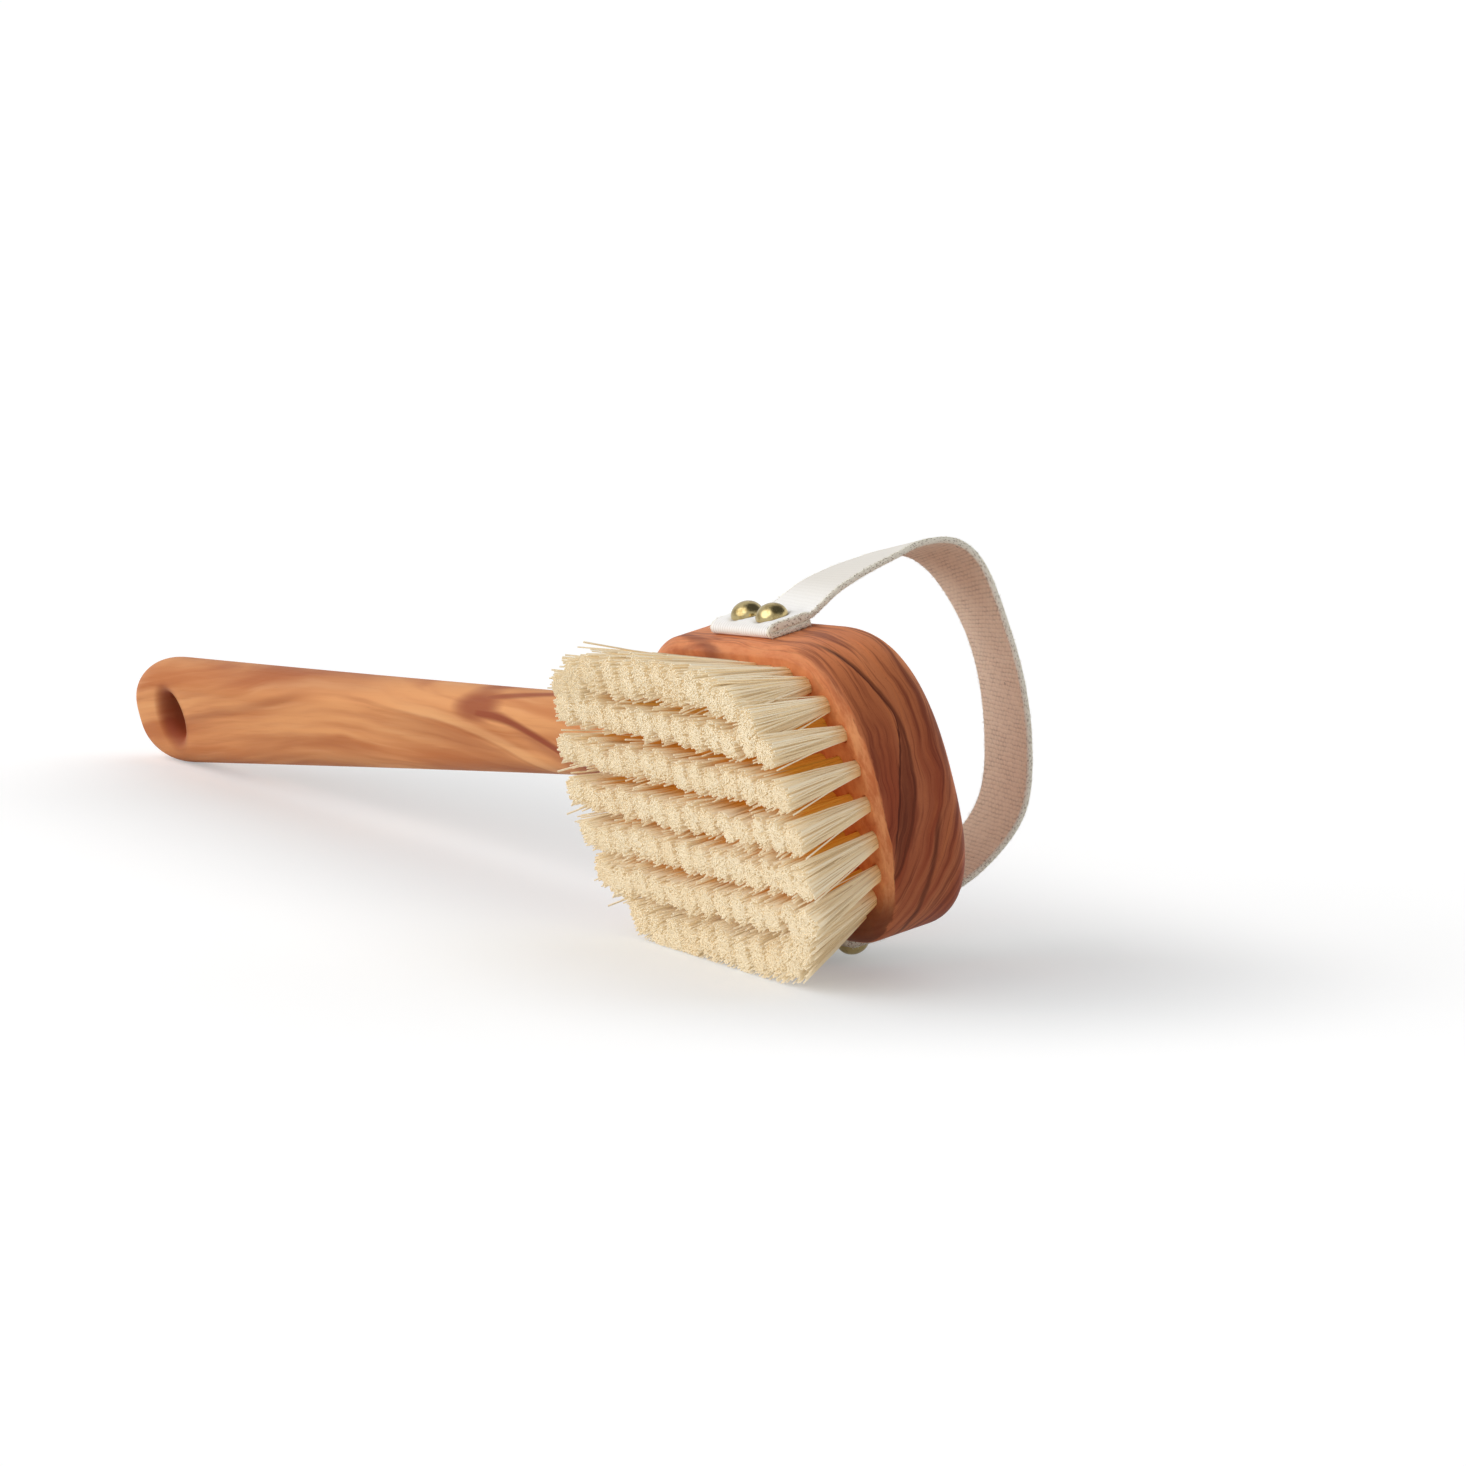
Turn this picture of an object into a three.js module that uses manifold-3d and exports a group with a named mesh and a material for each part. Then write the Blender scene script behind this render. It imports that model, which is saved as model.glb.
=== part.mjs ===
// Bath brush with a webbing hand strap and a pull-out wooden handle, lying on its side.
// Millimetres, +Z up. In the brush's own frame the handle runs towards -X, the bristles point
// towards -Y, and the head's width stands along Z. The brush is then tilted as it lies at rest, on
// its lower nails, its lowest bristles and the end of its handle.

import * as THREE from 'three';
import { mergeVertices } from 'three/addons/utils/BufferGeometryUtils.js';
import Module from 'manifold-3d';

const wasm = await Module();
wasm.setup();

// How the brush lies
const REST_ROLL = THREE.MathUtils.degToRad(13.81);
const REST_PITCH = THREE.MathUtils.degToRad(4.02);

// Clearance that touching pieces keep
const GAP = 0.3;

// Head: straight long sides between two superelliptic ends, the handle's end the rounder one
const HEAD_LENGTH = 116;
const HEAD_WIDTH = 69.5;
const HEAD_THICKNESS = 22;
const HEAD_STRAIGHT = 48;
const FREE_END_POWER = 2.5;
const HANDLE_END_POWER = 2.15;
const HEAD_RING_POINTS = 64;
const FACE_ROUND = 2.6;
const FACE_ROUND_STEPS = 3;
const BACK_ROUND = 6;
const BACK_ROUND_STEPS = 5;

// Bristles: rows of tufts inside a ring that follows the head's outline
const BRISTLE_LENGTH = 20.5;
const BED_INSET = 2.8;
const BED_DEPTH = 3;
const RING_INSET_END = 4.8;
const RING_INSET_SIDE = 7.5;
const RING_INSET_TOP = 6.3;
const RING_TUFTS = 34;
const RING_SAMPLES = 120;
const ROW_PITCH = 8.7;
const ROWS_EACH_SIDE = 2;
const TUFT_PITCH = 7.8;
const TUFT_ROOT_RADIUS = 0.95;
const TUFT_TIP_RADIUS = 2.8;
const STRANDS_PER_TUFT = 4;
const STRAND_SIDES = 3;
const STRAND_ROOT_RADIUS = 0.6;
const STRAND_TIP_RADIUS = 0.55;
const STRAND_ANCHOR = 1.2;
const SPLAY_LENGTHWISE = 0.045;
const SPLAY_CROSSWISE = 0.13;
const ROW_LEAN = 0.045;

// Strap: webbing folded double at its two nailed tabs
const STRAP_WIDTH = 30;
const STRAP_THICKNESS = 1.35;
const TAB_FRONT = -6.1;
const TAB_REAR = 5.4;
const TAB_FOLD_REAR = 3;
const STRAP_SKEW = 0.15;
const STRAP_SKEW_START = 8;
const STRAP_SKEW_RUN = 24;
const STRAP_BANK = 0.1;
const STRAP_STEPS = 44;
// Middle line of the strap from the upper tab, round the back, to the lower tab, as [y, z]
const STRAP_LINE = [
  [1, 37.1], [15.5, 40.1], [27.5, 42.2], [38.8, 42.7], [46.5, 39.5], [51.5, 30.5], [54.2, 12],
  [52.4, -6], [46.6, -21], [34, -29.9], [18, -34.4], [3, -37.1],
];

// Dome nails
const NAIL_SPACING = 12.8;
const NAIL_Y = -0.8;
const DOME_RADIUS = 3.6;
const DOME_HEIGHT = 3.6;
const SHANK_RADIUS = 0.9;
const SHANK_LENGTH = 15;
const SHANK_POINT = 3;
const NAIL_SIDES = 16;
const DOME_STEPS = 4;

// Handle: a flat stick, bullnosed at its edges, on a tenon that pulls out of the head's end
const HANDLE_LENGTH = 323.5;
const HANDLE_THICKNESS = 14;
const HANDLE_WIDTH_HEAD = 18.6;
const HANDLE_WIDTH_END = 29.2;
const HANDLE_FLARE_POWER = 1.3;
const HANDLE_EDGE = 6;
const HANDLE_TIP_RUN = 25;
const HANDLE_TIP_POWER = 2.5;
const HANDLE_BODY_STEPS = 7;
const HANDLE_TIP_STEPS = 10;
const HANDLE_CORNER_STEPS = 5;
const HANDLE_OFFSET_Y = 4;
const HANDLE_OFFSET_Z = 4;
const HANDLE_YAW = THREE.MathUtils.degToRad(1.72);
const HANDLE_DROOP = THREE.MathUtils.degToRad(0.886);
const SEAT_DEPTH = 1.2;
const TENON_LENGTH = 30;
const TENON_WIDTH = 12;
const TENON_THICKNESS = 8;
const TENON_CORNER = 2.5;
const TENON_CORNER_STEPS = 3;
const TENON_LEAD = 1;
const HOLE_FROM_END = 26;
const HOLE_RADIUS = 5.5;
const HOLE_ROUND = 4;
const HOLE_SIDES = 24;
const HOLE_ROUND_STEPS = 3;

const wood = (color) => new THREE.MeshStandardMaterial({ color, roughness: 0.55, metalness: 0 });
const headWood = wood(0xb5673a);
const handleWood = wood(0xc88c5c);
const bristleFibre = () => new THREE.MeshStandardMaterial({ color: 0xe8d3a8, roughness: 0.7, metalness: 0 });
const webbing = new THREE.MeshStandardMaterial({ color: 0xe2ded6, roughness: 0.9, metalness: 0 });
const brass = () => new THREE.MeshStandardMaterial({ color: 0xb89a52, roughness: 0.25, metalness: 1 });

// Closed three.js geometry to a solid for cutting and joining, and back
function solidOf(geometry) {
  const bare = geometry.clone();
  bare.deleteAttribute('normal');
  bare.deleteAttribute('uv');
  const merged = mergeVertices(bare, 1e-4);
  return new wasm.Manifold(new wasm.Mesh({
    numProp: 3,
    vertProperties: new Float32Array(merged.attributes.position.array),
    triVerts: new Uint32Array(merged.index.array),
  }));
}

function geometryOf(solid) {
  const mesh = solid.getMesh();
  const geometry = new THREE.BufferGeometry();
  geometry.setAttribute('position', new THREE.BufferAttribute(new Float32Array(mesh.vertProperties), 3));
  geometry.setIndex(new THREE.BufferAttribute(new Uint32Array(mesh.triVerts), 1));
  geometry.computeVertexNormals();
  return geometry;
}

// Skin over rings of equal point counts, closed by a fan at each end.
// Seen from outside the first ring, its points run anticlockwise.
function loft(rings) {
  const count = rings[0].length;
  const points = rings.flat();
  const indices = [];
  for (let ring = 0; ring + 1 < rings.length; ring++) {
    for (let i = 0; i < count; i++) {
      const a = ring * count + i;
      const b = ring * count + (i + 1) % count;
      indices.push(a, a + count, b, b, a + count, b + count);
    }
  }
  const middle = (ring) => ring.reduce((sum, p) => sum.add(p), new THREE.Vector3()).divideScalar(count);
  const first = points.push(middle(rings[0])) - 1;
  const last = points.push(middle(rings.at(-1))) - 1;
  const lastRing = (rings.length - 1) * count;
  for (let i = 0; i < count; i++) {
    const next = (i + 1) % count;
    indices.push(first, i, next, last, lastRing + next, lastRing + i);
  }
  const geometry = new THREE.BufferGeometry().setFromPoints(points);
  geometry.setIndex(indices);
  return geometry;
}

// Head outline in plan: straight sides, superelliptic ends, drawn in by the given insets
function headPoint(angle, insetEnd, insetSide) {
  const along = Math.cos(angle);
  const across = Math.sin(angle);
  const power = 2 / (along > 0 ? FREE_END_POWER : HANDLE_END_POWER);
  const straight = HEAD_STRAIGHT / 2;
  const endReach = HEAD_LENGTH / 2 - straight - insetEnd;
  const halfWidth = HEAD_WIDTH / 2 - insetSide;
  return new THREE.Vector2(
    Math.sign(along) * (straight + endReach * Math.abs(along) ** power),
    Math.sign(across) * halfWidth * Math.abs(across) ** power,
  );
}

function headRing(y, inset) {
  return Array.from({ length: HEAD_RING_POINTS }, (_, i) => {
    const p = headPoint((i + 0.5) * 2 * Math.PI / HEAD_RING_POINTS, inset, inset);
    return new THREE.Vector3(p.x, y, p.y);
  });
}

const FACE_Y = -HEAD_THICKNESS / 2;
const BACK_Y = HEAD_THICKNESS / 2;
const TIP_Y = FACE_Y - BRISTLE_LENGTH;

function headBlank() {
  const rings = [];
  for (let i = 0; i <= FACE_ROUND_STEPS; i++) {
    const turn = i / FACE_ROUND_STEPS * Math.PI / 2;
    rings.push(headRing(FACE_Y + FACE_ROUND * (1 - Math.cos(turn)), FACE_ROUND * (1 - Math.sin(turn))));
  }
  for (let i = 0; i <= BACK_ROUND_STEPS; i++) {
    const turn = i / BACK_ROUND_STEPS * Math.PI / 2;
    rings.push(headRing(BACK_Y - BACK_ROUND * (1 - Math.sin(turn)), BACK_ROUND * (1 - Math.cos(turn))));
  }
  return solidOf(loft(rings));
}

// Bed of the bristles: a thin slice of the head's face
function bedPlate(inset, front, back) {
  return solidOf(loft([headRing(front, inset), headRing(back, inset)]));
}

function box(lengthX, lengthY, lengthZ, x, y, z) {
  return solidOf(new THREE.BoxGeometry(lengthX, lengthY, lengthZ).translate(x, y, z));
}

// Places of the tufts on the face, as [x, z]
function tuftPlaces() {
  const ringLine = new THREE.CatmullRomCurve3(Array.from({ length: RING_SAMPLES }, (_, i) => {
    const insetSide = i < RING_SAMPLES / 2 ? RING_INSET_TOP : RING_INSET_SIDE;
    const p = headPoint(i * 2 * Math.PI / RING_SAMPLES, RING_INSET_END, insetSide);
    return new THREE.Vector3(p.x, 0, p.y);
  }), true, 'centripetal');
  const places = [];
  for (let i = 0; i < RING_TUFTS; i++) {
    const p = ringLine.getPointAt(i / RING_TUFTS);
    places.push([p.x, p.z]);
  }
  for (let row = -ROWS_EACH_SIDE; row <= ROWS_EACH_SIDE; row++) {
    const z = row * ROW_PITCH;
    const freeEnd = rowReach(z, FREE_END_POWER);
    const handleEnd = -rowReach(z, HANDLE_END_POWER);
    const count = Math.floor((freeEnd - handleEnd) / TUFT_PITCH) + 1;
    for (let i = 0; i < count; i++) {
      places.push([THREE.MathUtils.lerp(handleEnd, freeEnd, i / (count - 1)), z]);
    }
  }
  return places;
}

// How far towards an end a row goes: one pitch short of the ring
function rowReach(z, power) {
  const halfWidth = HEAD_WIDTH / 2 - RING_INSET_SIDE;
  const endReach = (HEAD_LENGTH - HEAD_STRAIGHT) / 2 - RING_INSET_END;
  const share = (1 - (Math.abs(z) / halfWidth) ** power) ** (1 / power);
  return HEAD_STRAIGHT / 2 + endReach * share - TUFT_PITCH;
}

// One strand: a tapered prism from inside the bed to the trimmed tips
function strand(rootX, rootZ, tipX, tipZ, turn) {
  const ring = (x, y, z, radius) => Array.from({ length: STRAND_SIDES }, (_, i) => {
    const angle = turn + i * 2 * Math.PI / STRAND_SIDES;
    return new THREE.Vector3(x + radius * Math.cos(angle), y, z + radius * Math.sin(angle));
  });
  const back = -STRAND_ANCHOR / BRISTLE_LENGTH;
  const startX = rootX + (tipX - rootX) * back;
  const startZ = rootZ + (tipZ - rootZ) * back;
  return solidOf(loft([
    ring(tipX, TIP_Y, tipZ, STRAND_TIP_RADIUS),
    ring(startX, FACE_Y + STRAND_ANCHOR, startZ, STRAND_ROOT_RADIUS),
  ]));
}

function tuft(x, z, index) {
  const goldenTurn = 2.4;
  const tipX = x * (1 + SPLAY_LENGTHWISE);
  const tipZ = z * (1 + SPLAY_CROSSWISE) - ROW_LEAN * x;
  return Array.from({ length: STRANDS_PER_TUFT }, (_, i) => {
    const turn = index * goldenTurn + i * 2 * Math.PI / STRANDS_PER_TUFT;
    const outX = Math.cos(turn);
    const outZ = Math.sin(turn);
    return strand(
      x + TUFT_ROOT_RADIUS * outX, z + TUFT_ROOT_RADIUS * outZ,
      tipX + TUFT_TIP_RADIUS * outX, tipZ + TUFT_TIP_RADIUS * outZ, turn,
    );
  });
}

// A lengthwise band of the bed with all the tufts that stand in it
function bristleBand(lowZ, highZ, places) {
  const span = HEAD_LENGTH;
  const band = box(span, span, highZ - lowZ - GAP, 0, 0, (lowZ + highZ) / 2);
  let solid = bedPlate(BED_INSET + GAP, FACE_Y, FACE_Y + BED_DEPTH).intersect(band);
  places.forEach(([x, z], index) => {
    if (z > lowZ && z < highZ) {
      for (const piece of tuft(x, z, index)) solid = solid.add(piece);
    }
  });
  return solid;
}

// Handle section at a distance out from the head: flat faces between bullnosed edges
function handleRing(out, halfWidth, halfThickness, grow = 0) {
  const edge = Math.min(HANDLE_EDGE, halfWidth * 0.9);
  const points = [];
  for (let corner = 0; corner < 4; corner++) {
    for (let i = 0; i <= HANDLE_CORNER_STEPS; i++) {
      const angle = (corner + i / HANDLE_CORNER_STEPS) * Math.PI / 2;
      const y = Math.cos(angle) * (halfThickness + grow);
      const side = corner < 2 ? 1 : -1;
      const z = side * (halfWidth - edge) + Math.sin(angle) * (edge + grow);
      const last = points.at(-1);
      if (!last || Math.hypot(last.y - y, last.z - z) > 1e-6) points.push(new THREE.Vector3(-out, y, z));
    }
  }
  if (Math.hypot(points[0].y - points.at(-1).y, points[0].z - points.at(-1).z) < 1e-6) points.pop();
  return points;
}

function handleHalfWidth(out) {
  const share = (out / HANDLE_LENGTH) ** HANDLE_FLARE_POWER;
  return (HANDLE_WIDTH_HEAD + (HANDLE_WIDTH_END - HANDLE_WIDTH_HEAD) * share) / 2;
}

function tenonRing(out, grow) {
  const halfY = TENON_THICKNESS / 2 + grow;
  const halfZ = TENON_WIDTH / 2 + grow;
  const points = [];
  for (let corner = 0; corner < 4; corner++) {
    for (let i = 0; i <= TENON_CORNER_STEPS; i++) {
      const angle = (corner + i / TENON_CORNER_STEPS) * Math.PI / 2;
      const sideY = corner === 0 || corner === 3 ? 1 : -1;
      const sideZ = corner < 2 ? 1 : -1;
      points.push(new THREE.Vector3(
        -out,
        sideY * (halfY - TENON_CORNER) + TENON_CORNER * Math.cos(angle),
        sideZ * (halfZ - TENON_CORNER) + TENON_CORNER * Math.sin(angle),
      ));
    }
  }
  return points;
}

function handleSolid() {
  const halfThickness = HANDLE_THICKNESS / 2;
  const tipStart = HANDLE_LENGTH - HANDLE_TIP_RUN;
  const rings = [];
  for (let i = 0; i < HANDLE_BODY_STEPS; i++) {
    const out = tipStart * i / HANDLE_BODY_STEPS;
    rings.push(handleRing(out, handleHalfWidth(out), halfThickness));
  }
  for (let i = 0; i < HANDLE_TIP_STEPS; i++) {
    const reach = Math.sin(i / HANDLE_TIP_STEPS * Math.PI / 2);
    const out = tipStart + HANDLE_TIP_RUN * reach;
    const narrow = (1 - reach ** HANDLE_TIP_POWER) ** (1 / HANDLE_TIP_POWER);
    const overEdge = Math.max(0, (out - (HANDLE_LENGTH - HANDLE_EDGE)) / HANDLE_EDGE);
    rings.push(handleRing(out, handleHalfWidth(out) * narrow, halfThickness * Math.sqrt(1 - overEdge ** 2)));
  }
  const tenon = loft([
    tenonRing(-TENON_LENGTH, -TENON_LEAD), tenonRing(TENON_LEAD * 2 - TENON_LENGTH, 0), tenonRing(1, 0),
  ]);
  return solidOf(loft(rings)).add(solidOf(tenon)).subtract(hangingHole());
}

// Through hole with rounded-over mouths
function hangingHole() {
  const half = HANDLE_THICKNESS / 2;
  const past = 2;
  const profile = [new THREE.Vector2(0, -half - past), new THREE.Vector2(HOLE_RADIUS + HOLE_ROUND, -half - past)];
  for (const side of [-1, 1]) {
    for (let i = 0; i <= HOLE_ROUND_STEPS; i++) {
      const turn = (side < 0 ? i : HOLE_ROUND_STEPS - i) / HOLE_ROUND_STEPS * Math.PI / 2;
      profile.push(new THREE.Vector2(
        HOLE_RADIUS + HOLE_ROUND * (1 - Math.sin(turn)),
        side * (half - HOLE_ROUND * (1 - Math.cos(turn))),
      ));
    }
  }
  profile.push(new THREE.Vector2(HOLE_RADIUS + HOLE_ROUND, half + past), new THREE.Vector2(0, half + past));
  const cutter = new THREE.LatheGeometry(profile, HOLE_SIDES);
  return solidOf(cutter.translate(HOLE_FROM_END - HANDLE_LENGTH, 0, 0));
}

// Where the handle leaves the head, and the room that it needs there
const handlePlace = new THREE.Group();
handlePlace.position.set(SEAT_DEPTH - HEAD_LENGTH / 2, HANDLE_OFFSET_Y, HANDLE_OFFSET_Z);
handlePlace.rotation.set(0, -HANDLE_DROOP, HANDLE_YAW);
handlePlace.updateMatrix();

function handleSocket() {
  const past = 6;
  const seat = loft([-GAP, past].map(
    (out) => handleRing(out, HANDLE_WIDTH_HEAD / 2, HANDLE_THICKNESS / 2, GAP),
  ));
  const mortise = loft([tenonRing(-TENON_LENGTH - 1, GAP), tenonRing(past, GAP)]);
  return [seat, mortise].map((cutter) => solidOf(cutter.applyMatrix4(handlePlace.matrix)));
}

// Nail along +Z, its dome seated at z = 0
function nail(grow = 0) {
  const profile = [
    new THREE.Vector2(0, -SHANK_LENGTH - grow),
    new THREE.Vector2(SHANK_RADIUS + grow, SHANK_POINT - SHANK_LENGTH),
    new THREE.Vector2(SHANK_RADIUS + grow, 0),
  ];
  for (let i = 0; i < DOME_STEPS; i++) {
    const turn = i / DOME_STEPS * Math.PI / 2;
    profile.push(new THREE.Vector2((DOME_RADIUS + grow) * Math.cos(turn), DOME_HEIGHT * Math.sin(turn)));
  }
  profile.push(new THREE.Vector2(0, DOME_HEIGHT));
  return new THREE.LatheGeometry(profile, NAIL_SIDES).rotateX(Math.PI / 2);
}

const TAB_THICKNESS = 2 * STRAP_THICKNESS;
const NAIL_SEAT_Z = HEAD_WIDTH / 2 + GAP + TAB_THICKNESS + GAP;
const nailPlaces = [['upper', 1], ['lower', -1]].flatMap(([tab, side]) => (
  [['free_end', 1], ['handle_end', -1]].map(([end, along]) => ({
    name: `${tab}_nail_${end}`,
    matrix: new THREE.Matrix4()
      .makeRotationX(side > 0 ? 0 : Math.PI)
      .setPosition(along * NAIL_SPACING / 2, NAIL_Y, side * NAIL_SEAT_Z),
  }))
));

const nailHoles = () => nailPlaces.map(({ matrix }) => solidOf(nail(GAP).applyMatrix4(matrix)));

// Strap: the middle line thickened to a band and drawn out to the strap's width, with its two tabs
function strapSolid() {
  const half = STRAP_THICKNESS / 2;
  const loopLine = new THREE.SplineCurve(STRAP_LINE.map(([y, z]) => new THREE.Vector2(y, z)));
  const outer = [];
  const inner = [];
  for (let i = 0; i <= STRAP_STEPS; i++) {
    const p = loopLine.getPointAt(i / STRAP_STEPS);
    const way = loopLine.getTangentAt(i / STRAP_STEPS);
    outer.push(new THREE.Vector2(p.x - way.y * half, p.y + way.x * half));
    inner.push(new THREE.Vector2(p.x + way.y * half, p.y - way.x * half));
  }
  const band = new THREE.Shape([...outer, ...inner.reverse()]);
  const tabs = [1, -1].map((side) => {
    const near = side * (HEAD_WIDTH / 2 + GAP);
    const far = near + side * TAB_THICKNESS;
    return new THREE.Shape([
      new THREE.Vector2(TAB_FRONT, near), new THREE.Vector2(TAB_REAR, near),
      new THREE.Vector2(TAB_REAR, near + side * STRAP_THICKNESS), new THREE.Vector2(TAB_FOLD_REAR, far),
      new THREE.Vector2(TAB_FRONT, far),
    ]);
  });
  const [loop, upper, lower] = [band, ...tabs].map((shape) => {
    const drawn = new THREE.ExtrudeGeometry(shape, { depth: STRAP_WIDTH, bevelEnabled: false });
    return solidOf(drawn.applyMatrix4(new THREE.Matrix4().set(
      0, 0, 1, -STRAP_WIDTH / 2,
      1, 0, 0, 0,
      0, 1, 0, 0,
      0, 0, 0, 1,
    )));
  });
  return skewed(loop.add(upper).add(lower));
}

// The loop hangs a little askew: its edge nearer the handle lies further back and, on top, lower
function skewed(solid) {
  return solid.warp((point) => {
    const share = THREE.MathUtils.clamp((point[1] - STRAP_SKEW_START) / STRAP_SKEW_RUN, 0, 1);
    point[1] -= STRAP_SKEW * point[0] * share;
    point[2] += STRAP_BANK * point[0] * share * Math.max(0, point[2] / HEAD_WIDTH * 2);
  });
}

function mesh(name, solid, material) {
  const part = new THREE.Mesh(geometryOf(solid), material);
  part.name = name;
  return part;
}

const cutAll = (solid, cutters) => cutters.reduce((rest, cutter) => rest.subtract(cutter), solid);

const brush = new THREE.Group();
brush.rotation.set(REST_ROLL, -REST_PITCH, 0, 'YXZ');

const bedPocket = bedPlate(BED_INSET, FACE_Y - 1, FACE_Y + BED_DEPTH + GAP);
brush.add(mesh('head_block', cutAll(headBlank(), [bedPocket, ...handleSocket(), ...nailHoles()]), headWood));

const places = tuftPlaces();
const bandEdge = 1.5 * ROW_PITCH;
const fieldEdge = HEAD_WIDTH / 2;
for (const [name, lowZ, highZ] of [
  ['bristles_upper', bandEdge, fieldEdge],
  ['bristles_middle', -bandEdge, bandEdge],
  ['bristles_lower', -fieldEdge, -bandEdge],
]) {
  brush.add(mesh(name, bristleBand(lowZ, highZ, places), bristleFibre()));
}

brush.add(mesh('hand_strap', cutAll(strapSolid(), nailHoles()), webbing));
for (const { name, matrix } of nailPlaces) {
  brush.add(mesh(name, solidOf(nail().applyMatrix4(matrix)), brass()));
}

handlePlace.add(mesh('handle', handleSolid(), handleWood));
brush.add(handlePlace);

// Set the tilted brush on the ground, with the origin under the middle of its box
const bathBrush = new THREE.Group();
bathBrush.add(brush);
bathBrush.updateMatrixWorld(true);
const extent = new THREE.Box3().setFromObject(bathBrush, true);
const middle = extent.getCenter(new THREE.Vector3());
brush.position.set(-middle.x, -middle.y, -extent.min.z);

export default bathBrush;
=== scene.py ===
"""Bath brush lying on a pale floor: wooden head and handle, tufted bristles, webbing strap, brass nails."""

import math
import random

import bmesh
import bpy
from mathutils import Matrix, Quaternion, Vector


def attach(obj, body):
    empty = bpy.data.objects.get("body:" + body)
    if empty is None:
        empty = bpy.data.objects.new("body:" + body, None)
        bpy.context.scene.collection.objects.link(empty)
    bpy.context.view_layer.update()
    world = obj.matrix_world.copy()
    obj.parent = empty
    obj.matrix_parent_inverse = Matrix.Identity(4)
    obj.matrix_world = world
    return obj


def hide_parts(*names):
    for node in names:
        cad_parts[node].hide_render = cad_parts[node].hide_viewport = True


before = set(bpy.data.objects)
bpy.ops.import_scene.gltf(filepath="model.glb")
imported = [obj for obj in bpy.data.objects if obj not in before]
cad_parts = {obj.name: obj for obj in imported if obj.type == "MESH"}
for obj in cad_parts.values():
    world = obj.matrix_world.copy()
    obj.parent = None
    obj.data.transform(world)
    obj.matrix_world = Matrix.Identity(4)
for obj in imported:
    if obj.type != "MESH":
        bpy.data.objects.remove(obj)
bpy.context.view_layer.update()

MM = 0.001
# Room between pieces that fit together
GAP = 0.3 * MM

# The brush's own frame: handle towards -X, bristles towards -Y, the head's width along Z
HEAD_CENTRE = Vector((159.77, -7.95, 41.12)) * MM
REST_ROLL = math.radians(13.81)
REST_PITCH = math.radians(4.02)
LYING = (
    Matrix.Translation(HEAD_CENTRE)
    @ Matrix.Rotation(-REST_PITCH, 4, "Y")
    @ Matrix.Rotation(REST_ROLL, 4, "X")
)

# Head
HEAD_LENGTH = 116 * MM
HEAD_WIDTH = 69.5 * MM
HEAD_THICKNESS = 22 * MM
HEAD_STRAIGHT = 48 * MM
FREE_END_POWER = 2.5
HANDLE_END_POWER = 2.15
FACE_ROUND = 2.6 * MM
FACE_ROUND_POWER = 1.4
BACK_ROUND = 6 * MM
FACE_Y = -HEAD_THICKNESS / 2
BACK_Y = HEAD_THICKNESS / 2

# Bristles
BRISTLE_LENGTH = 20.5 * MM
HOLE_DEPTH = 3 * MM
HOLE_RADIUS = 2.15 * MM
ROOT_DEPTH = 0.4 * HOLE_DEPTH
RING_INSET_END = 4.8 * MM
RING_INSET_SIDE = 7.5 * MM
RING_INSET_TOP = 6.3 * MM
RING_TUFTS = 34
ROW_PITCH = 8.7 * MM
ROWS_EACH_SIDE = 2
TUFT_PITCH = 7.8 * MM
SPLAY_LENGTHWISE = 0.045
SPLAY_CROSSWISE = 0.13
ROW_LEAN = 0.045
TOP_ROW_LIFT = -0.2 * MM
UPPER_ROW_LIFT = 0.086
RING_TO_ROW_PULL = 0.8
TOP_CORNER_START = 18 * MM
TOP_CORNER_SWEEP = 0.22
TOP_CORNER_LIFT = 0.05
TIP_WANDER = 0.5 * MM
OUTER_ROW_SPREAD = 1.35
CLUMP = 8
CLUMP_REACH = 0.8
STRAND_REACH = 0.34
TUFT_SEED = 7
FLOOR_CLEARANCE = 0.15 * MM
TUFT_SIZES = {
    "Strands": 400, "Root Radius": 1.75 * MM, "Tip Length": 4.7 * MM, "Tip Width": 3.7 * MM,
    "Strand Radius": 0.235 * MM, "Unevenness": 0.07 * MM, "Waviness": 0.3 * MM,
}
# Pieces of the tufted field, each between two rows counted from the middle one, and the CAD node of each
TUFT_BANDS = (
    ("upper", 1.5, 9, "bristles_upper"), ("above_middle", 0.5, 1.5, "bristles_middle"),
    ("middle", -1.5, 0.5, "bristles_middle"), ("lower", -9, -1.5, "bristles_lower"),
)

# Strap
STRAP_WIDTH = 30 * MM
STRAP_THICKNESS = 1.4 * MM
SELVEDGE = 0.35 * MM
SCALLOP = 0.18 * MM
SCALLOP_PITCH = 0.78 * MM
SCALLOP_MARGIN = 0.8 * MM
LAYER_STEP = 1.35 * MM
TAB_GAP = 0.1 * MM
TAB_FRONT = -5.4 * MM
TAB_REAR = 5.4 * MM
STRAP_SKEW = 0.15
STRAP_SKEW_START = 1 * MM
STRAP_SKEW_RUN = 8 * MM
STRAP_BANK = 0.1
STRAP_BANK_RUN = 36 * MM
SHOULDER_BULGE = 1.6 * MM
SHOULDER_Y = 49 * MM
SHOULDER_Z = 36 * MM
SHOULDER_REACH = 9 * MM
PILLOW_HEIGHT = 0.6 * MM
PILLOW_START = 3.2 * MM
PILLOW_RUN = 1.8 * MM
PILLOW_HALF = 6 * MM
PILLOW_FADE = 1.5 * MM
STRAP_STEP = 0.22 * MM
FUZZ_COUNT = 4200
FUZZ_LENGTH = 0.65 * MM
FUZZ_RADIUS = 0.045 * MM
FUZZ_LOOSENESS = 1.1
FUZZ_SEED = 23
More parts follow.
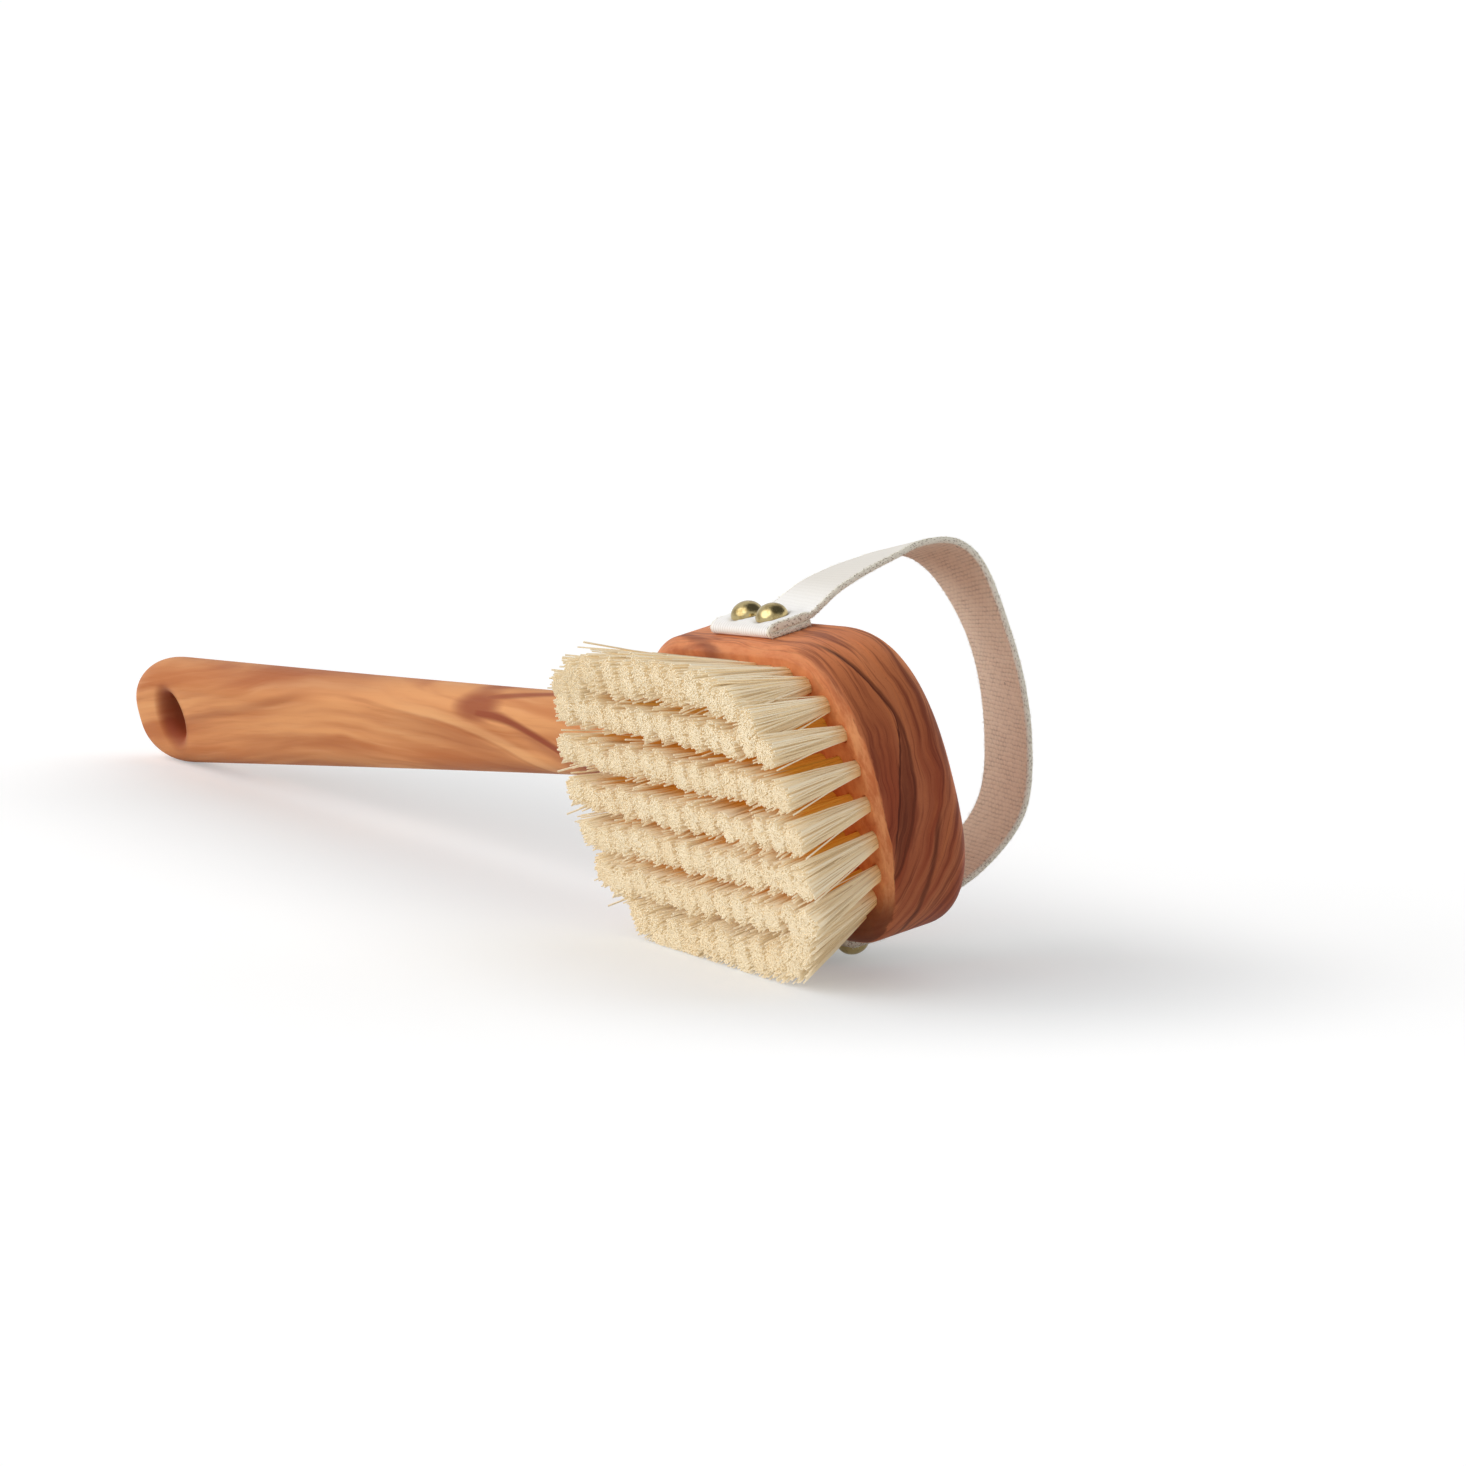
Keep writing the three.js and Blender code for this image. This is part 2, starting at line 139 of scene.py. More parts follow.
# Middle line of the loop from the upper tab, round the back, to the lower tab, as (y, z) in mm
STRAP_LINE = (
    (1, 36.9), (6, 36.95), (8.6, 37.5), (11.5, 38.7), (15.5, 40.2), (22.5, 41.6), (30.5, 42.4),
    (38.8, 42.7), (46.5, 39.5), (51.5, 30.5), (54.2, 12),
    (52.4, -6), (46.6, -21), (34, -29.9), (18, -34.4), (3, -37.1),
)
# Weave, in mm
WARP_PITCH = 1.2
WEFT_PITCH = 1.05

# Nails
NAIL_SPACING = 12.8 * MM
NAIL_Y = -0.8 * MM
NAIL_SEAT = HEAD_WIDTH / 2 + GAP + 2 * LAYER_STEP
DOME_RADIUS = 3.8 * MM
DOME_HEIGHT = 3.6 * MM
DOME_LIP = 0.35 * MM
SHANK_RADIUS = 0.9 * MM
SHANK_LENGTH = 12 * MM

# Handle
HANDLE_LENGTH = 323.5 * MM
HANDLE_THICKNESS = 14 * MM
HANDLE_WIDTH_HEAD = 18.6 * MM
HANDLE_WIDTH_END = 29.2 * MM
HANDLE_FLARE_POWER = 1.3
HANDLE_EDGE = 6 * MM
HANDLE_TIP_RUN = 25 * MM
HANDLE_TIP_POWER = 2.5
SEAT_DEPTH = 1.2 * MM
TENON_LENGTH = 30 * MM
TENON_WIDTH = 12 * MM
TENON_THICKNESS = 8 * MM
TENON_CORNER = 2.5 * MM
TENON_CHAMFER = 1 * MM
TENON_LEAD = 2 * MM
MORTISE_SPARE = 1 * MM
CUTTER_PAST = 6 * MM
HOLE_FROM_END = 26 * MM
HANGING_HOLE_RADIUS = 5.5 * MM
HANGING_HOLE_ROUND = 4 * MM
HANDLE_SHIFT = 4 * MM
HANDLE_PITCH = math.radians(-0.886)
HANDLE_SWING = math.radians(1.72)
HANDLE_IN_BRUSH = (
    Matrix.Translation((SEAT_DEPTH - HEAD_LENGTH / 2, HANDLE_SHIFT, HANDLE_SHIFT))
    @ Matrix.Rotation(HANDLE_PITCH, 4, "Y")
    @ Matrix.Rotation(HANDLE_SWING, 4, "Z")
)
HANDLE_PLACE = LYING @ HANDLE_IN_BRUSH

# Camera, fitted to the photograph's 1466 x 1466 frame
CAMERA_PLACE = Vector((1.9082, -0.8663, 0.3091))
CAMERA_AZIMUTH = math.radians(64.32)
CAMERA_ELEVATION = math.radians(7.55)
CAMERA_ROLL = math.radians(0.26)
CAMERA_LENS = 213.6

# Floor, half its side in metres
FLOOR_HALF = 40
FLOOR_GLOW = 0.44
PAINTED_SHADOW_CENTRE = Vector((40, 8, 0)) * MM
# Painted grey shadow on the floor round the brush, in mm
PAINTED_SHADOW_HALF_LENGTH = 165
PAINTED_SHADOW_INNER = 25
PAINTED_SHADOW_OUTER = 118

# Constant shader values that both woods share
OILED = {"IOR": 1.45, "Specular IOR Level": 0.12}


def linear(red, green, blue):
    """A colour given as it looks on screen, 0 to 255, in the linear light that shaders use."""
    channels = []
    for level in (red, green, blue):
        share = level / 255
        channels.append(share / 12.92 if share <= 0.04045 else ((share + 0.055) / 1.055) ** 2.4)
    return (*channels, 1)


class Signal:
    """A socket of a node tree. Arithmetic on it adds Math nodes."""

    def __init__(self, tree, socket):
        self.tree = tree
        self.socket = socket

    def math(self, operation, *others):
        inputs = dict(enumerate((self, *others)))
        return self.tree.node("ShaderNodeMath", {"operation": operation}, inputs)

    def other(self, output):
        """Another output of the node that this signal comes from."""
        return Signal(self.tree, self.socket.node.outputs[output])

    def ramp(self, low, high, start=0.0, end=1.0):
        """A smooth step from start to end as the signal goes from low to high."""
        settings = {"interpolation_type": "SMOOTHSTEP"}
        inputs = {0: self, 1: low, 2: high, 3: start, 4: end}
        return self.tree.node("ShaderNodeMapRange", settings, inputs)

    def near(self, fade, core):
        """A soft line where the signal is zero: full within the core, gone past the fade."""
        return self.math("ABSOLUTE").ramp(fade, core)

    def most(self, *others):
        """The greatest of this signal and the others."""
        greatest = self
        for other in others:
            greatest = greatest.math("MAXIMUM", other)
        return greatest

    def __add__(self, other):
        return self.math("ADD", other)

    __radd__ = __add__

    def __sub__(self, other):
        return self.math("SUBTRACT", other)

    def __rsub__(self, other):
        return self.tree.node("ShaderNodeMath", {"operation": "SUBTRACT"}, {0: other, 1: self})

    def __mul__(self, other):
        return self.math("MULTIPLY", other)

    __rmul__ = __mul__

    def __truediv__(self, other):
        return self.math("DIVIDE", other)

    def __pow__(self, other):
        return self.math("POWER", other)


class Tree:
    """A node tree written as calls and expressions."""

    def __init__(self, tree):
        self.tree = tree
        tree.nodes.clear()

    def node(self, kind, settings=None, inputs=None, output=0):
        """Adds a node: its settings first, then the values or links of its sockets."""
        node = self.tree.nodes.new(kind)
        for name, value in (settings or {}).items():
            setattr(node, name, value)
        for name, value in (inputs or {}).items():
            if isinstance(value, Signal):
                self.tree.links.new(value.socket, node.inputs[name])
            else:
                node.inputs[name].default_value = value
        return Signal(self, node.outputs[output]) if node.outputs else None

    def split(self, vector):
        x = self.node("ShaderNodeSeparateXYZ", None, {0: vector})
        return x, x.other(1), x.other(2)

    def join(self, x, y, z):
        return self.node("ShaderNodeCombineXYZ", None, {0: x, 1: y, 2: z})

    def vector_math(self, operation, *vectors, output="Vector"):
        inputs = dict(enumerate(vectors))
        return self.node("ShaderNodeVectorMath", {"operation": operation}, inputs, output)


class Finish(Tree):
    """A material around one Principled shader, with the shader's constant values."""

    def __init__(self, name, constants):
        self.material = bpy.data.materials.new(name)
        self.material.use_nodes = True
        super().__init__(self.material.node_tree)
        self.shader = self.node("ShaderNodeBsdfPrincipled", None, constants)
        self.node("ShaderNodeOutputMaterial", None, {"Surface": self.shader})

    def feed(self, name, signal):
        self.tree.links.new(signal.socket, self.shader.socket.node.inputs[name])

    def place(self, frame_matrix):
        """Coordinates in a piece's own frame, in millimetres."""
        coordinates = self.node("ShaderNodeTexCoord", output="Object")
        return self.node("ShaderNodeMapping", {"vector_type": "TEXTURE"}, {
            "Vector": coordinates,
            "Location": frame_matrix.translation,
            "Rotation": frame_matrix.to_euler("XYZ"),
            "Scale": (MM, MM, MM),
        })

    def stretch(self, vector, x, y, z):
        """The vector with each of its parts divided by a length."""
        return self.vector_math("MULTIPLY", vector, (1 / x, 1 / y, 1 / z))

    def noise(self, vector, detail=2.0, roughness=0.5, distortion=0.0):
        """Noise about zero, from about -0.5 to 0.5, with one swell to each unit of the vector."""
        inputs = {
            "Vector": vector, "Scale": 1.0, "Detail": detail,
            "Roughness": roughness, "Distortion": distortion,
        }
        return self.node("ShaderNodeTexNoise", None, inputs) - 0.5

    def attribute(self, name):
        return self.node("ShaderNodeAttribute", {"attribute_name": name}, output="Fac")

    def mix(self, share, first, second):
        settings = {"data_type": "RGBA"}
        return self.node("ShaderNodeMix", settings, {0: share, 6: first, 7: second}, output=2)

    def bump(self, height, distance, strength):
        inputs = {"Height": height, "Distance": distance, "Strength": strength}
        self.feed("Normal", self.node("ShaderNodeBump", None, inputs))


class Growth(Tree):
    """A Geometry Nodes tree that sets a pattern at each point, with named inputs for its sizes."""

    def __init__(self, name, sizes):
        self.group = bpy.data.node_groups.new(name, "GeometryNodeTree")
        self.sizes = sizes
        sockets = self.group.interface
        sockets.new_socket("Geometry", in_out="OUTPUT", socket_type="NodeSocketGeometry")
        sockets.new_socket("Points", in_out="INPUT", socket_type="NodeSocketGeometry")
        for size, value in sizes.items():
            kind = "NodeSocketInt" if isinstance(value, int) else "NodeSocketFloat"
            sockets.new_socket(size, in_out="INPUT", socket_type=kind)
        super().__init__(self.group)
        self.points = self.node("NodeGroupInput")

    def size(self, name):
        return self.points.other(name)

    def named(self, name, kind="FLOAT"):
        return self.node("GeometryNodeInputNamedAttribute", {"data_type": kind}, {"Name": name})

    def set_along(self, points, pattern, way, scale):
        """The pattern at each point, with its Z axis along the point's own way."""
        rotation = self.node("FunctionNodeAlignRotationToVector", {"axis": "Z"}, {"Vector": way})
        instances = self.node("GeometryNodeInstanceOnPoints", None, {
            "Points": points, "Instance": pattern, "Rotation": rotation, "Scale": scale,
        })
        return self.node("GeometryNodeRealizeInstances", None, {"Geometry": instances})

    def end(self, geometry, material):
        dressed = self.node("GeometryNodeSetMaterial", None, {"Geometry": geometry, "Material": material})
        self.node("NodeGroupOutput", None, {0: dressed})

    def grow(self, points):
        """What the tree makes of a mesh of points, as a plain mesh."""
        holder = shown("points", points)
        modifier = holder.modifiers.new("growth", "NODES")
        modifier.node_group = self.group
        for socket in self.group.interface.items_tree:
            if socket.name in self.sizes:
                modifier[socket.identifier] = self.sizes[socket.name]
        return settled(holder)


def shown(name, data):
    """A new object in the scene."""
    item = bpy.data.objects.new(name, data)
    bpy.context.scene.collection.objects.link(item)
    return item


def settled(item, *tools):
    """The object's mesh after its modifiers. The object and its tools are removed."""
    mesh = bpy.data.meshes.new_from_object(item.evaluated_get(bpy.context.evaluated_depsgraph_get()))
    for used in (item, *tools):
        bpy.data.objects.remove(used)
    return mesh


def piece_from(name, mesh, finish, body, slot, *nodes):
    """A finished piece: it rides on a body and stands for CAD nodes."""
    piece = shown(name, mesh)
    mesh.materials.clear()
    mesh.materials.append(finish)
    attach(piece, body)
    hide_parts(*nodes)


def mesh_of(name, rings):
    """A skin over rings of equal point counts, closed at both ends."""
    shape = bmesh.new()
    rows = [[shape.verts.new(point) for point in ring] for ring in rings]
    count = len(rows[0])
    for low, high in zip(rows, rows[1:]):
        for i in range(count):
            after = (i + 1) % count
            shape.faces.new((low[i], low[after], high[after], high[i]))
    shape.faces.new(rows[0])
    shape.faces.new(rows[-1])
    return mesh_from(shape, name)


def joined(meshes):
    """One mesh holding all the given ones."""
    shape = bmesh.new()
    for mesh in meshes:
        shape.from_mesh(mesh)
    return mesh_from(shape, "joined")


def mesh_from(shape, name):
    """An edited shape as a mesh with its faces outwards."""
    bmesh.ops.recalc_face_normals(shape, faces=shape.faces)
    mesh = bpy.data.meshes.new(name)
    shape.to_mesh(mesh)
    shape.free()
    return mesh


def lathed(name, profile, sides, x, z=0.0):
    """A solid of (radius, y) rings about an axis along Y."""
    rings = []
    for radius, y in profile:
        rings.append([Vector((x + radius * math.cos(t), y, z + radius * math.sin(t))) for t in turns(sides)])
    return mesh_of(name, rings)


def carved(mesh, *steps):
    """The mesh after booleans, given as (operation, other mesh)."""
    work = shown("work", mesh)
    tools = []
    for operation, other in steps:
        tools.append(shown("tool", other))
        cut = work.modifiers.new("cut", "BOOLEAN")
        cut.operation = operation
        cut.solver = "EXACT"
        cut.object = tools[-1]
    return settled(work, *tools)


def smoothed(mesh, sharp_degrees=35):
    """Smooth shading that keeps the true edges."""
    mesh.polygons.foreach_set("use_smooth", [True] * len(mesh.polygons))
    mesh.set_sharp_from_angle(angle=math.radians(sharp_degrees))
    return mesh


def point_mesh(places):
    """A mesh of bare points."""
    mesh = bpy.data.meshes.new("points")
    mesh.from_pydata(places, [], [])
    return mesh


def mark(mesh, name, values):
    """Stores a number or a vector at each point of a mesh."""
    if isinstance(values[0], (int, float)):
        mesh.attributes.new(name, "FLOAT", "POINT").data.foreach_set("value", values)
    else:
        parts = [part for vector in values for part in vector]
        mesh.attributes.new(name, "FLOAT_VECTOR", "POINT").data.foreach_set("vector", parts)


def arc(steps):
    """Shares of a quarter turn, from 0 to a right angle."""
    return [math.pi / 2 * i / steps for i in range(steps + 1)]


def turns(count):
    """Angles spaced evenly round a full turn."""
    return [i * math.tau / count for i in range(count)]


def clamped(value):
    return min(max(value, 0), 1)


def evenly(line, step):
    """The line again, with points one step apart."""
    spaced, gone, target = [line[0]], 0.0, step
    for here, after in zip(line, line[1:]):
        length = (after - here).length
        while length > 0 and target <= gone + length:
            spaced.append(here.lerp(after, (target - gone) / length))
            target += step
        gone += length
    return spaced


# Head block

def head_point(turn, inset_end, inset_side):
    """The head's outline in plan: straight sides, superelliptic ends."""
    along, across = math.cos(turn), math.sin(turn)
    power = 2 / (FREE_END_POWER if along > 0 else HANDLE_END_POWER)
    end_reach = (HEAD_LENGTH - HEAD_STRAIGHT) / 2 - inset_end
    half_width = HEAD_WIDTH / 2 - inset_side
    x = math.copysign(HEAD_STRAIGHT / 2 + end_reach * abs(along) ** power, along)
    z = math.copysign(half_width * abs(across) ** power, across)
    return x, z


def head_ring(y, inset, count=192):
    """The outline at one depth, drawn in by an inset."""
    points = []
    for i in range(count):
        x, z = head_point((i + 0.5) * math.tau / count, inset, inset)
        points.append(Vector((x, y, z)))
    return points


def head_blank(face_steps=10, back_steps=12):
    """The head before it is cut: a small round at the face and a larger one at the back."""
    flat_margin = 0.1 * MM
    rings = [head_ring(FACE_Y, FACE_ROUND + flat_margin)]
    power = 2 / FACE_ROUND_POWER
    for turn in arc(face_steps):
        along, across = abs(math.cos(turn)) ** power, math.sin(turn) ** power
        rings.append(head_ring(FACE_Y + FACE_ROUND * (1 - along), FACE_ROUND * (1 - across)))
    for turn in arc(back_steps):
        y = BACK_Y - BACK_ROUND * (1 - math.sin(turn))
        rings.append(head_ring(y, BACK_ROUND * (1 - math.cos(turn))))
    rings.append(head_ring(BACK_Y, BACK_ROUND + flat_margin))
    return mesh_of("head", rings)


def row_reach(z, power):
    """How far towards an end a row of tufts goes: one pitch short of the ring."""
    half_width = HEAD_WIDTH / 2 - RING_INSET_SIDE
    end_reach = (HEAD_LENGTH - HEAD_STRAIGHT) / 2 - RING_INSET_END
    share = (1 - (abs(z) / half_width) ** power) ** (1 / power)
    return HEAD_STRAIGHT / 2 + end_reach * share - TUFT_PITCH


def ring_places(samples=1440):
    """Tufts evenly spaced along the ring that follows the head's outline."""
    line = []
    for i in range(samples + 1):
        turn = i * math.tau / samples
        inset_side = RING_INSET_TOP if turn < math.pi else RING_INSET_SIDE
        line.append(Vector(head_point(turn, RING_INSET_END, inset_side)))
    length = sum((after - here).length for here, after in zip(line, line[1:]))
    return [tuple(point) for point in evenly(line, length / RING_TUFTS)[:RING_TUFTS]]


def tuft_places():
    """Where the tufts stand on the face, as (x, z)."""
    places = ring_places()
    for row in range(-ROWS_EACH_SIDE, ROWS_EACH_SIDE + 1):
        z = row * ROW_PITCH
        free_end = row_reach(z, FREE_END_POWER)
        handle_end = -row_reach(z, HANDLE_END_POWER)
        count = int((free_end - handle_end) / TUFT_PITCH) + 1
        for i in range(count):
            places.append((handle_end + (free_end - handle_end) * i / (count - 1), z))
    return places


def tuft_holes(sides=14):
    """Drills for the tufts' holes."""
    past = 1 * MM
    profile = [(HOLE_RADIUS, FACE_Y - past), (HOLE_RADIUS, FACE_Y + HOLE_DEPTH)]
    return joined([lathed("drill", profile, sides, x, z) for x, z in tuft_places()])


def handle_ring(out, grow, steps=12):
    """The handle's section at the head: flat faces between bullnosed edges."""
    points = []
    for corner in range(4):
        side = 1 if corner < 2 else -1
        for i in range(corner % 2, steps + 1):
            turn = (corner + i / steps) * math.pi / 2
            y = math.cos(turn) * (HANDLE_THICKNESS / 2 + grow)
            z = side * (HANDLE_WIDTH_HEAD / 2 - HANDLE_EDGE) + math.sin(turn) * (HANDLE_EDGE + grow)
            points.append(Vector((-out, y, z)))
    return points


def tenon_ring(out, grow, steps=6):
    """The tenon's section: a rectangle with rounded corners."""
    half_y = TENON_THICKNESS / 2 + grow
    half_z = TENON_WIDTH / 2 + grow
    points = []
    for corner in range(4):
        side_y = 1 if corner in (0, 3) else -1
        side_z = 1 if corner < 2 else -1
        for i in range(steps + 1):
            turn = (corner + i / steps) * math.pi / 2
            y = side_y * (half_y - TENON_CORNER) + TENON_CORNER * math.cos(turn)
            z = side_z * (half_z - TENON_CORNER) + TENON_CORNER * math.sin(turn)
            points.append(Vector((-out, y, z)))
    return points


def handle_socket():
    """The shallow seat and the deep mortise that the handle goes into."""
    seat = mesh_of("seat", [handle_ring(out, GAP) for out in (-GAP, CUTTER_PAST)])
    deep = -TENON_LENGTH - MORTISE_SPARE
    mortise = mesh_of("mortise", [tenon_ring(out, GAP) for out in (deep, CUTTER_PAST)])
    for cutter in (seat, mortise):
        cutter.transform(HANDLE_IN_BRUSH)
    return seat, mortise


def make_head():
    cutters = [*handle_socket(), tuft_holes()]
    block = carved(head_blank(), *[("DIFFERENCE", cutter) for cutter in cutters])
    # How squarely the surface cuts across the grain, which runs along X
    mark(block, "end_grain", [abs(vertex.normal.x) for vertex in block.vertices])
    block.transform(LYING)
    piece_from("head_wood", smoothed(block), head_finish(), "head", "head_wood", "head_block")


def head_finish():
    """Oiled reddish wood: growth layers run round the wall and bend back to the face lower down."""
    wood = Finish("oiled_red_wood", OILED)
    place = wood.place(LYING)
    x, y, z = wood.split(place)
    slow = wood.noise(wood.stretch(place, 60, 26, 26))
    wave = wood.noise(wood.stretch(place, 24, 9, 11))
    from_bend = z - 12
    dip = from_bend.math("MINIMUM", 0.0)
    layer = y + dip * dip * 0.01 + slow * 6 + wave * 2.4
    bands = wood.noise(wood.join(layer * 0.2, z * 0.012, x * 0.012))
    flames = wood.noise(wood.join(layer * 0.5, z * 0.03, x * 0.02), 4, 0.62, 0.3)
    hairs = wood.noise(wood.join(layer * 2, z * 0.05, x * 0.035), 3, 0.6)
    fibre = wood.noise(wood.stretch(place, 12, 0.45, 0.45), 3, 0.6)
    pores = wood.noise(wood.stretch(place, 2.4, 0.2, 0.2), 1)
    blotch = wood.noise(wood.stretch(place, 7, 1.6, 7), 4, 0.65)
    end_grain = wood.attribute("end_grain")

    body = wood.mix(bands.ramp(-0.13, 0.13), linear(174, 88, 57), linear(214, 130, 88))
    # Painted light: the block is drawn lighter towards its top, where more light falls.
    painted_light_top = wood.mix((z + slow * 20).ramp(2, 26) * 0.42, body, linear(236, 154, 96))
    flamed = wood.mix(flames.ramp(-0.02, 0.15) * 0.7, painted_light_top, linear(118, 56, 40))
    between = flames.ramp(-0.06, -0.2) * (0.3 + z.ramp(0, 16) * 0.25)
    lit = wood.mix(between, flamed, linear(230, 138, 82))
    combed = wood.mix(hairs.ramp(0.02, 0.2) * 0.5, lit, linear(100, 46, 32))

    at_end = x.ramp(26, 44)
    knee = z - 17.2
    from_knee = (knee * knee + 9).math("SQRT")
    fault = y + from_knee * 0.31 - 0.6 + hairs * 0.7 + wave * 1.6
    crack = fault.near(0.42, 0.1) * z.ramp(-16, -8) * 0.9
    second = y - 0.3 + hairs * 0.9 + wave * 2 + from_bend * from_bend * 0.011
    seam = second.near(0.9, 0.15) * z.ramp(-30, -20) * 0.72
    smoke = fault.ramp(0.0, 0.6) * second.ramp(0.0, -0.7) * 0.55
    third = y - 2 + hairs * 0.9 + wave * 2 - (z + 11.3) * 0.33
    streak = third.near(1.1, 0.2) * z.ramp(-4, -11) * 0.66
    marks = crack.most(seam, smoke, streak) * at_end
    marked = wood.mix(marks, combed, linear(64, 34, 26))
    fibred = wood.mix(fibre.ramp(0.04, 0.3) * 0.3, marked, linear(146, 70, 40))
    pored = wood.mix(pores.ramp(0.18, 0.34) * 0.4, fibred, linear(112, 52, 30))
    aged = wood.mix(end_grain.ramp(0.3, 1.0) * 0.4, pored, linear(112, 44, 28))

    sanded = (y + blotch * 2.2).ramp(-9.0, -9.5)
    # The sanded rim is lighter wood; its lighter mottled patches are partly painted highlight.
    mottle = wood.mix(blotch.ramp(-0.16, 0.16), linear(214, 122, 74), linear(248, 170, 114))
    # Painted shade on the rim: darker towards the top, where more light falls, and darker again low down.
    rim_top_painted_shade = wood.mix(z.ramp(14, 30) * 0.42, mottle, linear(158, 88, 54))
    shaded = wood.mix(z.ramp(-18, -28) * 0.9, rim_top_painted_shade, linear(112, 56, 36))
    edged = wood.mix(sanded * (0.88 - z.ramp(18, 28) * 0.36), aged, shaded)
    across_rim = y + 8 + (x + 26) * 0.16 + wave * 2
    smear = across_rim.near(1.7, 0.2) * x.ramp(-40, -28) * x.ramp(2, -8) * z.ramp(18, 27)
    wood.feed("Base Color", wood.mix(smear * 0.55, edged, linear(112, 56, 42)))
    wood.feed("Roughness", 0.46 + fibre * 0.2 + bands * 0.1)
    wood.bump(fibre * 0.5 - pores.ramp(0.18, 0.34) - crack * 0.8 + sanded * blotch, 0.06 * MM, 0.6)
    return wood.material


# Handle

def handle_half_width(out):
    share = (out / HANDLE_LENGTH) ** HANDLE_FLARE_POWER
    return (HANDLE_WIDTH_HEAD + (HANDLE_WIDTH_END - HANDLE_WIDTH_HEAD) * share) / 2


def handle_outline(side_steps=48, tip_steps=56):
    """The handle's outline from the head's end round the tip and back, as (out, z)."""
    tip_start = HANDLE_LENGTH - HANDLE_TIP_RUN
    upper = []
    for i in range(side_steps):
        out = tip_start * i / side_steps
        upper.append(Vector((out, handle_half_width(out))))
    for turn in arc(tip_steps):
        reach = math.sin(turn) ** (2 / HANDLE_TIP_POWER)
        narrow = max(math.cos(turn), 0.0) ** (2 / HANDLE_TIP_POWER)
        out = tip_start + HANDLE_TIP_RUN * reach
        upper.append(Vector((out, handle_half_width(out) * narrow)))
    lower = [Vector((out, -z)) for out, z in upper[-2::-1]]
    return upper + lower


def handle_blank(edge_steps=24):
    """Layers of the outline through the thickness, each drawn in as the bullnosed edge asks."""
    outline = handle_outline()
    last = len(outline) - 1
    inward = []
    for i in range(last + 1):
        way = outline[min(i + 1, last)] - outline[max(i - 1, 0)]
        inward.append(Vector((way.y, -way.x)).normalized())
    inward[0], inward[last] = Vector((0, -1)), Vector((0, 1))
    rings = []
    for step in range(edge_steps + 1):
        turn = (step / edge_steps - 0.5) * math.pi
        y = HANDLE_THICKNESS / 2 * math.sin(turn)
        inset = HANDLE_EDGE * (1 - math.cos(turn))
        places = [point + way * inset for point, way in zip(outline, inward)]
        rings.append([Vector((-out, y, z)) for out, z in places])
    return mesh_of("handle", rings)


def hanging_hole(sides=48, round_steps=8):
    """A drill with the rounded mouths of the hanging hole."""
    half, past = HANDLE_THICKNESS / 2, 2 * MM
    mouth = HANGING_HOLE_RADIUS + HANGING_HOLE_ROUND
    profile = [(mouth, -half - past)]
    for side in (-1, 1):
        for turn in arc(round_steps)[::-side]:
            radius = HANGING_HOLE_RADIUS + HANGING_HOLE_ROUND * (1 - math.sin(turn))
            profile.append((radius, side * (half - HANGING_HOLE_ROUND * (1 - math.cos(turn)))))
    profile.append((mouth, half + past))
    return lathed("hole", profile, sides, HOLE_FROM_END - HANDLE_LENGTH)


def make_handle():
    overlap = 1 * MM
    tenon = mesh_of("tenon", [
        tenon_ring(-TENON_LENGTH, -TENON_CHAMFER),
        tenon_ring(TENON_LEAD - TENON_LENGTH, 0),
        tenon_ring(overlap, 0),
    ])
    stick = carved(handle_blank(), ("UNION", tenon), ("DIFFERENCE", hanging_hole()))
    stick.transform(HANDLE_PLACE)
    piece_from("handle_wood", smoothed(stick), handle_finish(), "handle", "handle_wood", "handle")


